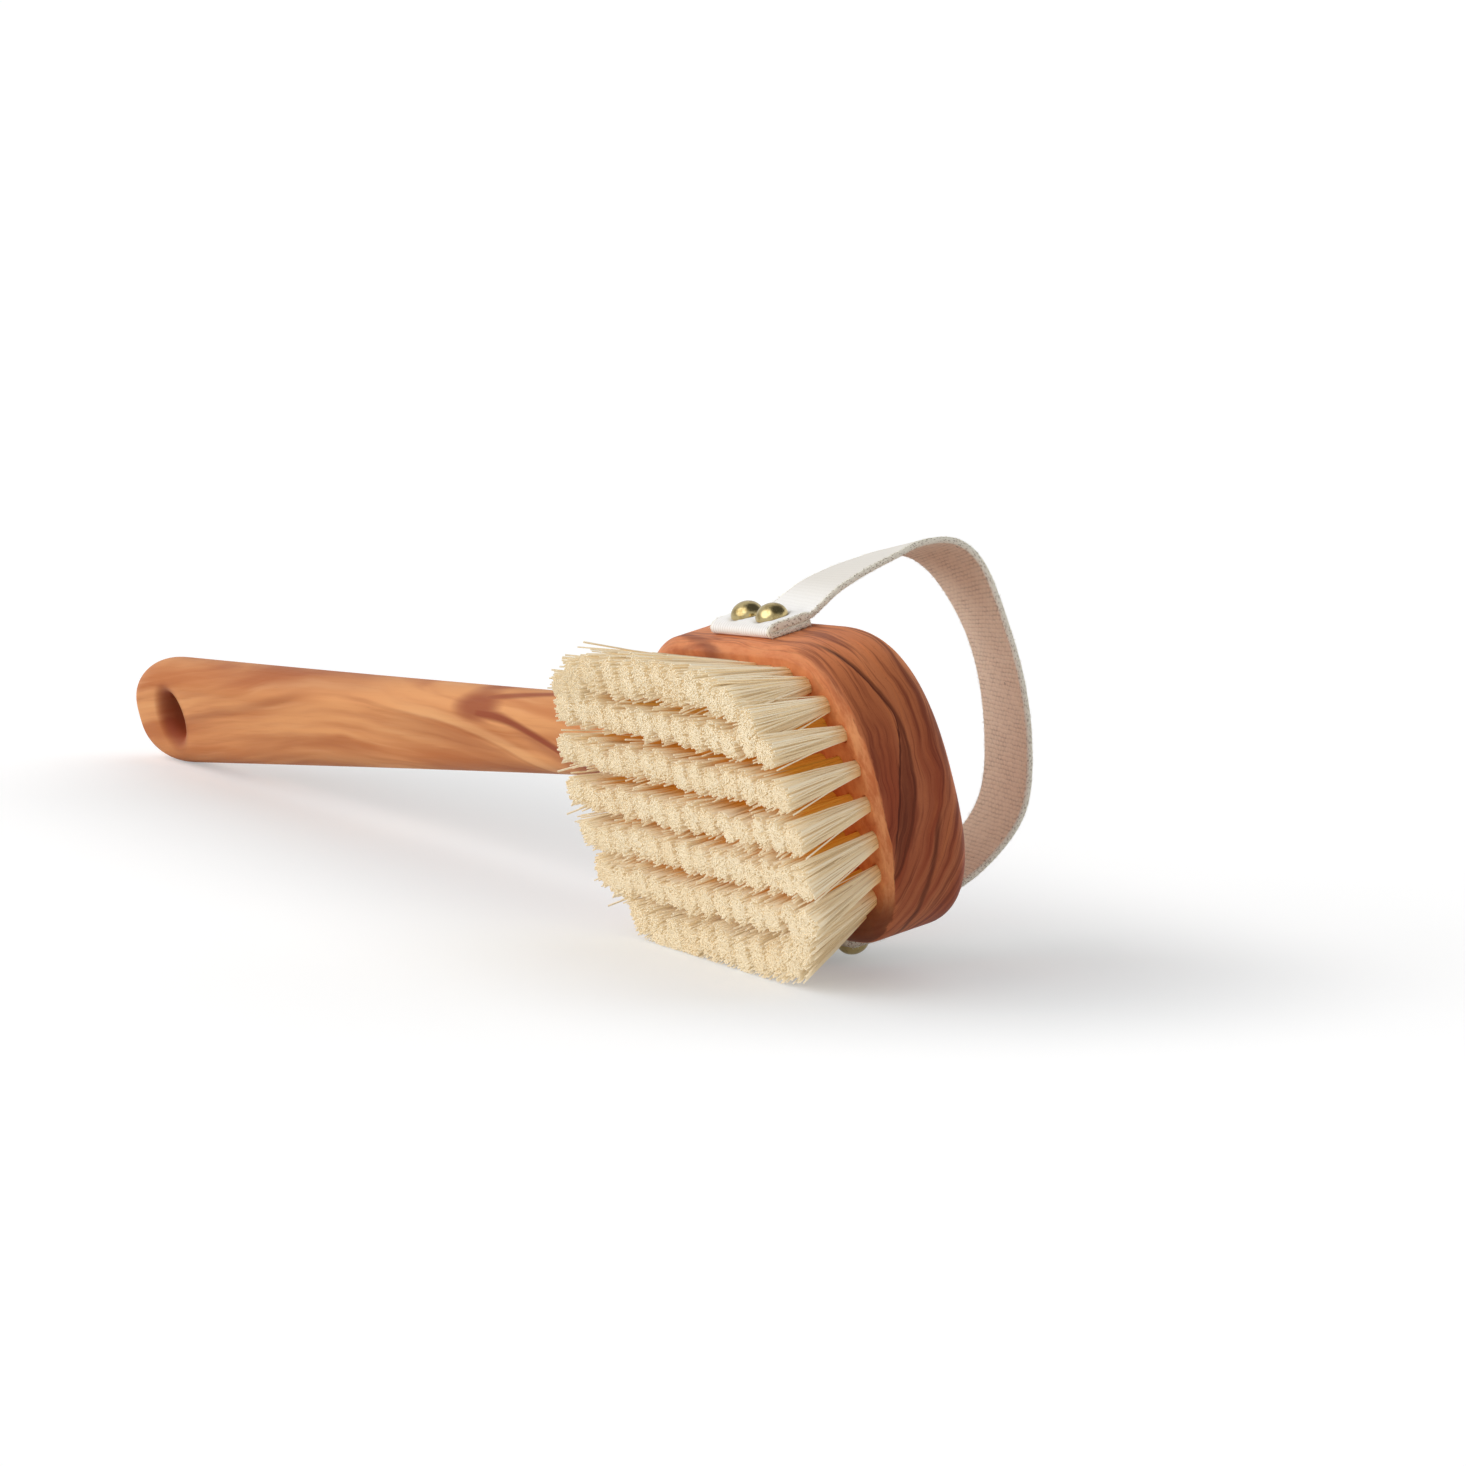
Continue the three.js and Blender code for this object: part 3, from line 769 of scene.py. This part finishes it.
def handle_finish():
    """Oiled pale wood: soft streaks that arch along the handle, and a dark vee towards the head."""
    wood = Finish("oiled_pale_wood", OILED)
    place = wood.place(HANDLE_PLACE)
    x, y, z = wood.split(place)
    from_arch = x + 200
    bend = (from_arch * from_arch + 700).math("SQRT") * 0.09
    flow = wood.noise(wood.stretch(place, 50, 10, 10))
    course = z + bend + flow * 5
    broad = wood.noise(wood.join(x * 0.011, y * 0.06, course * 0.2))
    streaks = wood.noise(wood.join(x * 0.016, y * 0.15, course * 0.42))
    fibre = wood.noise(wood.stretch(place, 20, 0.6, 0.6), 3, 0.6)
    pores = wood.noise(wood.stretch(place, 4, 0.22, 0.22), 1)

    body = wood.mix(broad.ramp(-0.16, 0.16), linear(192, 116, 66), linear(226, 158, 102))
    streaked = wood.mix(streaks.ramp(0.0, 0.26) * 0.42, body, linear(176, 100, 58))
    pale = wood.mix(streaks.ramp(-0.04, -0.26) * 0.32, streaked, linear(240, 184, 130))

    from_turn = x + 140
    before, past = from_turn.math("MINIMUM", 0.0), from_turn.math("MAXIMUM", 0.0)
    line = z - 4.1 + before * 0.104 + past * 0.064 + past * past * 0.0022 + flow * 1.5
    under = line.near(0.9, 0.15) * x.ramp(-195, -150) * 0.24
    shade = line.ramp(0.3, -1.5) * line.ramp(-12, -3) * x.ramp(-185, -135) * x.ramp(-66, -96) * 0.3
    glow = line.ramp(-0.2, 1.0) * line.ramp(4.2, 2.2) * x.ramp(-170, -130) * 0.45
    from_apex = x + 93
    past_apex = (from_apex * from_apex + 90).math("SQRT") * 0.5 + from_apex * 0.5
    arm = z - 6.6 + past_apex * 0.32 + flow * 0.6
    lower_arm = arm.near(1.9, 0.4) * x.ramp(-120, -106) * 0.9
    lower_glow = arm.ramp(0.2, -0.6) * arm.ramp(-5, -1.5) * x.ramp(-94, -74) * 0.5
    top = y + 4.4 - (x + 107) * 0.1 + flow * 0.8
    upper_arm = top.near(1.6, 0.3) * z.ramp(6.5, 8.0) * x.ramp(-112, -104) * 0.75
    heart_x, heart_z = (x + 108) * 0.075, (z - 7.6 + flow * 2) * 0.28
    heart = (heart_x * heart_x + heart_z * heart_z).ramp(1.4, 0.1) * 0.8
    brow = z.ramp(7.5, 10.5) * x.ramp(-282, -246) * x.ramp(-150, -185) * 0.26
    patch_x, patch_z = (x + 212) * 0.02, (z + 6.5 + flow * 4) * 0.2
    patch = (patch_x * patch_x + patch_z * patch_z).ramp(1.2, 0.2) * 0.28
    by_hole = z + 0.5 - (x + 286) * 0.115 + flow * 1.5
    hole_streak = by_hole.near(1.9, 0.2) * x.ramp(-200, -225) * x.ramp(-296, -284) * 0.34

    lightened = wood.mix(glow, pale, linear(240, 182, 126))
    soft = shade.most(under, hole_streak, patch)
    shaded = wood.mix(soft, lightened, linear(150, 82, 48))
    dark = lower_arm.most(lower_glow, upper_arm, heart, brow)
    figured = wood.mix(dark, shaded, linear(142, 60, 36))
    fibred = wood.mix(fibre.ramp(0.05, 0.3) * 0.18, figured, linear(170, 96, 58))
    pored = wood.mix(pores.ramp(0.22, 0.36) * 0.25, fibred, linear(136, 74, 44))
    # Painted shade in the hanging hole: darker in its bore and rounded mouth, partly the bore's darker end
    # grain.
    hole_x = x + (HANDLE_LENGTH - HOLE_FROM_END) / MM
    from_hole = (hole_x * hole_x + z * z).math("SQRT")
    wood.feed("Base Color", wood.mix(from_hole.ramp(10.5, 6.0) * 0.8, pored, linear(130, 44, 27)))
    wood.feed("Roughness", 0.5 + fibre * 0.2 + broad * 0.1)
    wood.bump(fibre * 0.5 - pores.ramp(0.2, 0.36), 0.04 * MM, 0.6)
    return wood.material


# Bristles

def bristle_growth(finish):
    """Fans each tuft point out into strands from its root disc to its trimmed tips."""
    tree = Growth("bristle_tufts", TUFT_SIZES)

    def chance(seed, low=0.0, high=1.0, clump=None):
        inputs = {2: low, 3: high, "Seed": seed}
        if clump is not None:
            inputs["ID"] = clump
        return tree.node("FunctionNodeRandomValue", {"data_type": "FLOAT"}, inputs, output=1)

    def disc(seed, radius, clump=None):
        turn = chance(seed, 0.0, math.tau, clump)
        share = chance(seed + 1, clump=clump) ** 0.5 * radius
        return turn.math("COSINE") * share, turn.math("SINE") * share

    def stored(geometry, name, kind, value):
        settings = {"data_type": kind, "domain": "POINT"}
        inputs = {"Geometry": geometry, "Name": name, "Value": value}
        return tree.node("GeometryNodeStoreNamedAttribute", settings, inputs)

    strands = tree.node("GeometryNodeDuplicateElements", {"domain": "POINT"}, {
        "Geometry": tree.points, "Amount": tree.size("Strands"),
    })
    clump = (tree.node("GeometryNodeInputIndex") / CLUMP).math("FLOOR")
    (clump_x, clump_z), (own_x, own_z) = disc(21, CLUMP_REACH, clump), disc(1, STRAND_REACH)
    across_x, across_z = clump_x + own_x, clump_z + own_z
    share = (across_x * across_x + across_z * across_z) ** 0.5
    stray = (chance(3) ** 30) * 0.8 + 0.06 + (share ** 4) * 0.32
    tip_x = (across_x + chance(4, -1, 1) * stray) * tree.size("Tip Length")
    tip_z = (across_z + chance(5, -1, 1) * stray) * tree.size("Tip Width") * tree.named("spread")
    trim = (chance(6, -1, 1) + chance(25, -1, 1, clump)) * tree.size("Unevenness")
    root_radius = tree.size("Root Radius")
    root = tree.join(across_x * root_radius, 0.0, across_z * root_radius)
    tip = tree.vector_math("ADD", tree.named("reach", "FLOAT_VECTOR"), tree.join(tip_x, trim, tip_z))
    reach = tree.vector_math("SUBTRACT", tip, root)
    waviness = tree.size("Waviness")
    bow = tree.join(chance(7, -1, 1) * waviness, 0.0, chance(8, -1, 1) * waviness)

    placed = tree.node("GeometryNodeSetPosition", None, {"Geometry": strands, "Offset": root})
    placed = stored(placed, "bow", "FLOAT_VECTOR", bow)
    placed = stored(placed, "tone", "FLOAT", chance(9))
    thickness = tree.size("Strand Radius") * chance(10, 0.75, 1.2)
    length = tree.vector_math("LENGTH", reach, output="Value")
    strand = tree.node("GeometryNodeMeshCone", {"fill_type": "NGON"}, {
        "Vertices": 3, "Side Segments": 2, "Fill Segments": 1,
        "Radius Top": 1.0, "Radius Bottom": 0.6, "Depth": 1.0,
    })
    height = tree.split(tree.node("GeometryNodeInputPosition"))[2]
    strand = stored(strand, "along", "FLOAT", height)
    real = tree.set_along(placed, strand, reach, tree.join(thickness, thickness, length))
    along = tree.named("along")
    swell = along * (1 - along) * 4
    offset = tree.node("ShaderNodeVectorMath", {"operation": "SCALE"}, {
        0: tree.named("bow", "FLOAT_VECTOR"), "Scale": swell,
    })
    tree.end(tree.node("GeometryNodeSetPosition", None, {"Geometry": real, "Offset": offset}), finish)
    return tree


def tuft_points(places, draw):
    """A mesh of bare points, one to a tuft, each with the reach from its root to the middle of its tips."""
    points = point_mesh([(x, FACE_Y + ROOT_DEPTH, z) for x, z in places])
    reaches, spreads, shades, inner = [], [], [], []
    ring = set(ring_places())
    for x, z in places:
        tip_x = x * SPLAY_LENGTHWISE + draw.uniform(-TIP_WANDER, TIP_WANDER)
        tip_z = z * SPLAY_CROSSWISE - ROW_LEAN * x + draw.uniform(-TIP_WANDER, TIP_WANDER)
        row = round(z / ROW_PITCH)
        in_rows = abs(row) <= ROWS_EACH_SIDE
        if in_rows:
            tip_z += (row * ROW_PITCH - z) * RING_TO_ROW_PULL + UPPER_ROW_LIFT * max(z, 0)
        elif z > 0:
            from_corner = max(0, -x - TOP_CORNER_START)
            tip_x -= from_corner * TOP_CORNER_SWEEP
            tip_z += TOP_ROW_LIFT + ROW_LEAN * min(x, 0) + from_corner * TOP_CORNER_LIFT
        reaches.append((tip_x, -BRISTLE_LENGTH - ROOT_DEPTH, tip_z))
        spreads.append(1 if in_rows else OUTER_ROW_SPREAD)
        shades.append(draw.random())
        inner.append(0.0 if (x, z) in ring else 1.0)
    marks = {"reach": reaches, "spread": spreads, "shade": shades, "inner": inner}
    for name, values in marks.items():
        mark(points, name, values)
    return points


def make_bristles():
    finish = bristle_finish()
    growth = bristle_growth(finish)
    places = tuft_places()
    draw = random.Random(TUFT_SEED)
    for band, low, high, node in TUFT_BANDS:
        chosen = [place for place in places if low < place[1] / ROW_PITCH < high]
        strands = growth.grow(tuft_points(chosen, draw))
        strands.transform(LYING)
        for vertex in strands.vertices:
            vertex.co.z = max(vertex.co.z, FLOOR_CLEARANCE)
        piece_from(f"bristle_tufts_{band}", strands, finish, "head", "bristle", node)


def bristle_finish():
    """Pale natural fibre, painted amber deep between the rows and given a faint painted glow, both for light
    that passes through the fibre.
    """
    fibre = Finish("natural_bristle", {"IOR": 1.5, "Specular IOR Level": 0.2, "Emission Strength": 0.12})
    along, inner = fibre.attribute("along"), fibre.attribute("inner")
    strand_tone = fibre.attribute("tone")
    tone = strand_tone * 0.6 + fibre.attribute("shade") * 0.4
    pale = fibre.mix(tone, linear(250, 238, 212), linear(246, 228, 194))
    painted_deep_amber = fibre.mix(tone, linear(236, 194, 100), linear(218, 166, 66))
    # Painted light: amber from the roots out, over most of a row tuft and only near the root of a ring tuft.
    depth = along.ramp(inner * 0.75 - 0.15, 0.3 + inner * 0.67)
    dull = strand_tone.ramp(0.72, 0.98) * along.ramp(0.98, 0.8) * 0.55
    fibre.feed("Base Color", fibre.mix(dull, fibre.mix(depth, painted_deep_amber, pale), linear(166, 126, 58)))
    # Painted glow: the fibre emits a little light, amber deep in the rows and cream at the tips.
    fibre.feed("Emission Color", fibre.mix(depth, linear(236, 160, 56), linear(210, 198, 172)))
    fibre.feed("Roughness", 0.42 + tone * 0.2)
    return fibre.material


# Strap

def spline(points, per_span=24):
    """Points on a smooth line through the given ones."""
    line = []
    for i in range(len(points) - 1):
        before = points[max(i - 1, 0)]
        here, after = points[i], points[i + 1]
        beyond = points[min(i + 2, len(points) - 1)]
        for step in range(per_span):
            t = step / per_span
            line.append(0.5 * (
                2 * here + (after - before) * t
                + (2 * before - 5 * here + 4 * after - beyond) * t ** 2
                + (3 * here - before - 3 * after + beyond) * t ** 3
            ))
    line.append(points[-1])
    return line


def strap_line():
    """The ribbon's middle line: under layer, fold, upper layer, loop, and the same again below."""
    lower = HEAD_WIDTH / 2 + TAB_GAP + LAYER_STEP / 2
    fold, quarter = LAYER_STEP / 2, arc(6)
    start = [Vector((TAB_REAR, lower)), Vector((TAB_FRONT, lower))]
    for turn in quarter + [math.pi / 2 + t for t in quarter[1:]]:
        start.append(Vector((TAB_FRONT - fold * math.sin(turn), lower + fold - fold * math.cos(turn))))
    loop = spline([Vector(point) * MM for point in STRAP_LINE])
    end = [Vector((y, -z)) for y, z in reversed(start)]
    return evenly(start + loop + end, STRAP_STEP)


def strap_section(flat_steps=26, round_steps=8):
    """The ribbon's section as (across, lift): flat sides and rounded selvedges."""
    half, flat = STRAP_THICKNESS / 2, STRAP_WIDTH / 2 - SELVEDGE
    section = []
    for side in (1, -1):
        for i in range(flat_steps):
            section.append((side * (2 * i / flat_steps - 1) * flat, side * half))
        for i in range(round_steps):
            turn = i / round_steps * math.pi
            section.append((side * (flat + SELVEDGE * math.sin(turn)), side * half * math.cos(turn)))
    return section


def lie_of_strap(across, y, z):
    """Where a point of the straight ribbon lies once the loop hangs askew and its shoulder bulges."""
    skew = STRAP_SKEW * across * clamped((y - STRAP_SKEW_START) / STRAP_SKEW_RUN)
    bank = STRAP_BANK * across * clamped(y / STRAP_BANK_RUN) * max(0, z / HEAD_WIDTH * 2)
    from_shoulder = math.hypot(y - SHOULDER_Y, z - SHOULDER_Z) / SHOULDER_REACH
    bulge = SHOULDER_BULGE * across / STRAP_WIDTH * 2 * math.exp(-from_shoulder ** 2 / 2)
    slantwise = 0.7
    return Vector((across, y - skew + bulge * slantwise, z + bank + bulge * slantwise))


def pillow(across, y, z):
    """How far the tab's webbing stands up round the nails that press it down."""
    if abs(y) > PILLOW_HALF or abs(z) < HEAD_WIDTH / 2 + LAYER_STEP:
        return 0.0
    near = min(math.hypot(across - side * NAIL_SPACING / 2, y - NAIL_Y) for side in (-1, 1))
    rise = clamped((near - PILLOW_START) / PILLOW_RUN)
    fade = min((PILLOW_HALF - abs(y)) / PILLOW_FADE, 1)
    return PILLOW_HEIGHT * rise * rise * (3 - 2 * rise) * fade


def make_strap():
    finish = webbing_finish()
    line, section = strap_line(), strap_section()
    rows, rings, edges = [], [], []
    for i, point in enumerate(line):
        way = (line[min(i + 1, len(line) - 1)] - line[max(i - 1, 0)]).normalized()
        lifted = Vector((-way.y, way.x))
        gone = i * STRAP_STEP
        scallop = SCALLOP * math.cos(math.tau * gone / SCALLOP_PITCH)
        ring = []
        for across, lift in section:
            edge = max(0.0, abs(across) - STRAP_WIDTH / 2 + SCALLOP_MARGIN) / SCALLOP_MARGIN
            wide = across + math.copysign(scallop * edge, across)
            spot = point + lifted * lift
            if lift > 0:
                spot = spot + lifted * pillow(across, *spot)
            place = lie_of_strap(wide, *spot)
            ring.append(place)
            rows.append((gone, across, lift / (STRAP_THICKNESS / 2)))
            if abs(across) > STRAP_WIDTH / 2 - SELVEDGE:
                out = Vector((math.copysign(1, across), lifted.x * lift / MM, lifted.y * lift / MM))
                edges.append((place, out, rows[-1]))
        rings.append(ring)
    webbing = mesh_of("strap", rings)
    mark_cloth(webbing, rows)
    whole = joined([webbing, selvedge_fuzz(edges, finish)])
    whole.transform(LYING)
    piece_from("strap_webbing", smoothed(whole, sharp_degrees=80), finish, "head", "webbing", "hand_strap")


def mark_cloth(mesh, rows):
    """Stores each point's place on the ribbon: how far along, how far across, and on which face."""
    for index, name in enumerate(("along", "across", "face")):
        mark(mesh, name, [row[index] for row in rows])


def selvedge_fuzz(edges, finish):
    """Loose cotton ends that stand out from the webbing's two edges."""
    draw = random.Random(FUZZ_SEED)
    roots = draw.sample(edges, FUZZ_COUNT)
    ways = []
    for place, out, row in roots:
        loose = Vector((draw.uniform(-1, 1), draw.uniform(-1, 1), draw.uniform(-1, 1)))
        ways.append((out + loose * FUZZ_LOOSENESS).normalized() * draw.uniform(0.35, 1.0) * FUZZ_LENGTH)
    points = point_mesh([place for place, out, row in roots])
    mark(points, "way", ways)
    mark_cloth(points, [row for place, out, row in roots])
    return fuzz_growth(finish).grow(points)


def fuzz_growth(finish):
    """Sets a thin fibre at each point, along the point's own way and as long as it."""
    tree = Growth("selvedge_fuzz", {"Fibre Radius": FUZZ_RADIUS})
    radius, way = tree.size("Fibre Radius"), tree.named("way", "FLOAT_VECTOR")
    length = tree.vector_math("LENGTH", way, output="Value")
    fibre = tree.node("GeometryNodeMeshCone", {"fill_type": "NONE"}, {
        "Vertices": 3, "Side Segments": 1,
        "Radius Top": radius * 0.5, "Radius Bottom": radius, "Depth": 1.0,
    })
    tree.end(tree.set_along(tree.points, fibre, way, tree.join(1.0, 1.0, length)), finish)
    return tree


def webbing_finish():
    """Undyed cotton webbing: plain weave with painted shade in its grooves, a painted warm tint on the inner
    face, speckled selvedges, a few flecks of husk.
    """
    cloth = Finish("cotton_webbing", {"IOR": 1.45, "Specular IOR Level": 0.15, "Sheen Weight": 0.15})
    along, across = cloth.attribute("along") / MM, cloth.attribute("across") / MM
    from_middle = across.math("ABSOLUTE")
    face = cloth.attribute("face")
    inside = face.ramp(0.4, -0.6)
    spot = cloth.join(along, across, face * 2)

    def dots(x, y, z):
        inputs = {"Vector": cloth.stretch(spot, x, y, z), "Scale": 1.0, "Randomness": 1.0}
        return cloth.node("ShaderNodeTexVoronoi", None, inputs)

    wobble = cloth.noise(cloth.stretch(spot, 5, 5, 1))
    warp = (across / WARP_PITCH * math.pi + wobble * 2.6).math("SINE")
    weft = (along / WEFT_PITCH * math.pi + wobble * 2.2).math("SINE")
    between_warps = 1 - warp.math("ABSOLUTE")
    grooves = (1 - weft.math("ABSOLUTE")) ** 1.5 * (0.3 + between_warps * 0.9)
    under = (warp * weft).ramp(-0.25, 0.25)
    relief = grooves + under * 0.2
    fold = along.ramp(9.6, 11.2) * along.ramp(14.4, 12.8)
    ribs = between_warps ** 3 * fold
    speck = cloth.noise(cloth.stretch(spot, 0.5, 0.4, 0.6), 2, 0.6)
    mottle = cloth.noise(cloth.stretch(spot, 2.2, 4, 3), 3, 0.6)
    edge = (from_middle + speck * 1.6).ramp(14.0, 14.7)

    # Greyer further along, from the tab up the loop.
    greyer_along_loop = cloth.mix(along.ramp(24, 38) * 0.6, linear(251, 249, 246), linear(214, 206, 192))
    # Painted light: the inner face is tinted a warmer beige for light bounced from the wood.
    plain = cloth.mix(inside, greyer_along_loop, linear(248, 230, 206))
    # Painted shade in the weave's grooves and between the ribs at the fold: faint outside, deeper and
    # patchier on the inner face where light grazes.
    weave = relief * (0.08 + inside * (0.3 + mottle * 1.9)) + ribs * 0.5
    painted_weave_shade = cloth.mix(weave, plain, linear(134, 106, 84))
    bound = cloth.mix(edge, painted_weave_shade, linear(250, 246, 232))
    frayed = cloth.mix(edge * speck.ramp(0.1, 0.22) * 0.25, bound, linear(150, 130, 100))
    ends = (from_middle + speck * 2).ramp(13.6, 14.2) * dots(0.75, 0.7, 0.7).ramp(0.36, 0.27) * 0.66
    dotted = cloth.mix(ends, frayed, linear(130, 104, 76))
    husks = dots(9, 9, 9).ramp(0.05, 0.03) * 0.7
    cloth.feed("Base Color", cloth.mix(husks, dotted, linear(90, 72, 56)))
    cloth.feed("Roughness", 0.85 + speck * 0.2)
    cloth.bump(speck * (0.4 + edge) - relief * (0.35 + inside * 0.65) - ribs, 0.12 * MM, 0.8)
    return cloth.material


# Nails

def nail_mesh(sides=40, dome_steps=12):
    """One nail along +Z, its dome seated at z = 0."""
    profile = [
        (SHANK_RADIUS * 0.2, -SHANK_LENGTH), (SHANK_RADIUS, -SHANK_LENGTH * 0.8), (SHANK_RADIUS, 0),
        (DOME_RADIUS - DOME_LIP, 0),
    ]
    for turn in arc(dome_steps)[:-1]:
        height = DOME_LIP + (DOME_HEIGHT - DOME_LIP) * math.sin(turn)
        profile.append((DOME_RADIUS * math.cos(turn), height))
    rings = []
    for radius, z in profile:
        rings.append([Vector((radius * math.cos(t), radius * math.sin(t), z)) for t in turns(sides)])
    return mesh_of("nail", rings)


def nail_growth(pattern, finish):
    """Sets a nail at each point, along the point's own way."""
    tree = Growth("dome_nails", {})
    nail = tree.node("GeometryNodeObjectInfo", None, {"Object": pattern}, output="Geometry")
    tree.end(tree.set_along(tree.points, nail, tree.named("way", "FLOAT_VECTOR"), (1, 1, 1)), finish)
    return tree


def make_nails():
    finish = brass_finish()
    ends = [(along, side) for side in (1, -1) for along in (1, -1)]
    points = point_mesh([(along * NAIL_SPACING / 2, NAIL_Y, side * NAIL_SEAT) for along, side in ends])
    mark(points, "way", [(0, 0, side) for along, side in ends])
    pattern = bpy.data.objects.new("nail_pattern", nail_mesh())
    nails = nail_growth(pattern, finish).grow(points)
    bpy.data.objects.remove(pattern)
    nails.transform(LYING)
    names = [f"{tab}_nail_{end}" for tab in ("upper", "lower") for end in ("free_end", "handle_end")]
    piece_from("brass_nails", smoothed(nails, sharp_degrees=40), finish, "head", "nail", *names)


def brass_finish():
    """Polished brass, a little dulled and scratched."""
    brass = Finish("polished_brass", {"Metallic": 1.0})
    place = brass.place(LYING)
    cloud = brass.noise(brass.stretch(place, 2.4, 2.4, 2.4), 3, 0.6)
    scratch = brass.noise(brass.stretch(place, 1.6, 0.12, 0.3))
    dulled = brass.mix(cloud.ramp(-0.05, 0.25), linear(212, 192, 140), linear(166, 142, 90))
    brass.feed("Base Color", dulled)
    brass.feed("Roughness", 0.19 + cloud * 0.16)
    brass.bump(scratch, 0.01 * MM, 0.4)
    return brass.material


# Stage

def make_floor():
    """A white floor with a painted soft grey shadow round the brush, bright to the camera and dimmer in the
    brass.
    """
    mesh = bpy.data.meshes.new("floor")
    corners = [(x * FLOOR_HALF, y * FLOOR_HALF, 0) for x, y in ((-1, -1), (1, -1), (1, 1), (-1, 1))]
    mesh.from_pydata(corners, [], [(0, 1, 2, 3)])
    paint = Finish("pale_floor", {
        "Base Color": (0.7, 0.7, 0.7, 1), "Roughness": 1.0, "Specular IOR Level": 0.0,
        "Emission Strength": FLOOR_GLOW,
    })
    x, y = paint.split(paint.place(Matrix.Translation(PAINTED_SHADOW_CENTRE)))[:2]
    past_end = (x.math("ABSOLUTE") - PAINTED_SHADOW_HALF_LENGTH).math("MAXIMUM", 0.0)
    away = (past_end * past_end + y * y).math("SQRT")
    # Painted shadow: the floor glows grey round the brush and white further out.
    glow = paint.mix(away.ramp(PAINTED_SHADOW_OUTER, PAINTED_SHADOW_INNER), (1, 1, 1, 1), (0.6, 0.62, 0.63, 1))
    rays = paint.node("ShaderNodeLightPath", output="Is Camera Ray")
    seen = rays.most(rays.other("Is Glossy Ray") * 0.3)
    paint.feed("Emission Color", paint.mix(seen, (0, 0, 0, 1), glow))
    mesh.materials.append(paint.material)
    floor = shown("floor", mesh)


def direction(azimuth, elevation):
    """The way towards a compass direction: azimuth 0 is -Y and a quarter turn is +X."""
    level = math.cos(elevation)
    return Vector((math.sin(azimuth) * level, -math.cos(azimuth) * level, math.sin(elevation)))


def make_sun(name, azimuth, elevation, strength, spread):
    """A broad soft light, unseen in the brass, from a direction in degrees."""
    light = bpy.data.lights.new(name, "SUN")
    light.energy = strength
    light.angle = math.radians(spread)
    lamp = shown(name, light)
    away = direction(math.radians(azimuth), math.radians(elevation))
    lamp.rotation_euler = away.to_track_quat("Z", "Y").to_euler()
    lamp.visible_glossy = False


def make_world():
    """Soft studio light: bright near the horizon and to the left, dim overhead and to the right."""
    world = bpy.data.worlds.new("studio")
    bpy.context.scene.world = world
    world.use_nodes = True
    tree = Tree(world.node_tree)
    way = tree.node("ShaderNodeTexCoord", output="Generated")

    def towards(x, y, z):
        return tree.vector_math("DOT_PRODUCT", way, (x, y, z), output="Value")

    up, left = tree.split(way)[2], towards(-0.94, -0.34, 0)
    soft = up.ramp(0.1, 0.6, 0.9, 0.55) * up.ramp(0.6, 0.95, 1.0, 0.12) * (1 + left * 0.45)
    cloud = tree.node("ShaderNodeTexNoise", None, {"Vector": way, "Scale": 3.0, "Detail": 3.0}) - 0.5
    window = (towards(0.07, -0.79, 0.61) + cloud * 0.2).ramp(0.76, 0.93) * 1.5
    dimmed = (towards(0.25, 0.38, 0.89) + cloud * 0.5).ramp(0.62, 0.86)
    mirrored = (0.66 + cloud * 0.5) * (1 - dimmed * 0.85) + window
    glossy = tree.node("ShaderNodeLightPath", output="Is Glossy Ray")
    level = soft + (mirrored - soft) * glossy
    light = tree.node("ShaderNodeBackground", None, {"Color": (1, 1, 1, 1), "Strength": level})
    tree.node("ShaderNodeOutputWorld", None, {"Surface": light})


def make_camera():
    data = bpy.data.cameras.new("camera")
    data.lens = CAMERA_LENS
    data.clip_end = 100
    camera = shown("camera", data)
    away = direction(CAMERA_AZIMUTH, CAMERA_ELEVATION)
    turn = away.to_track_quat("Z", "Y") @ Quaternion((0, 0, 1), CAMERA_ROLL)
    camera.matrix_world = Matrix.Translation(CAMERA_PLACE) @ turn.to_matrix().to_4x4()
    bpy.context.scene.camera = camera


bpy.context.scene.view_settings.view_transform = "Standard"
make_camera()
make_world()
make_sun("window_light", azimuth=-26, elevation=32, strength=1.1, spread=80)
make_sun("low_fill", azimuth=-20, elevation=8, strength=0.6, spread=60)
make_sun("back_light", azimuth=190, elevation=45, strength=0.78, spread=80)
make_sun("front_fill", azimuth=62, elevation=18, strength=0.25, spread=90)
make_floor()
make_head()
make_handle()
make_bristles()
make_strap()
make_nails()
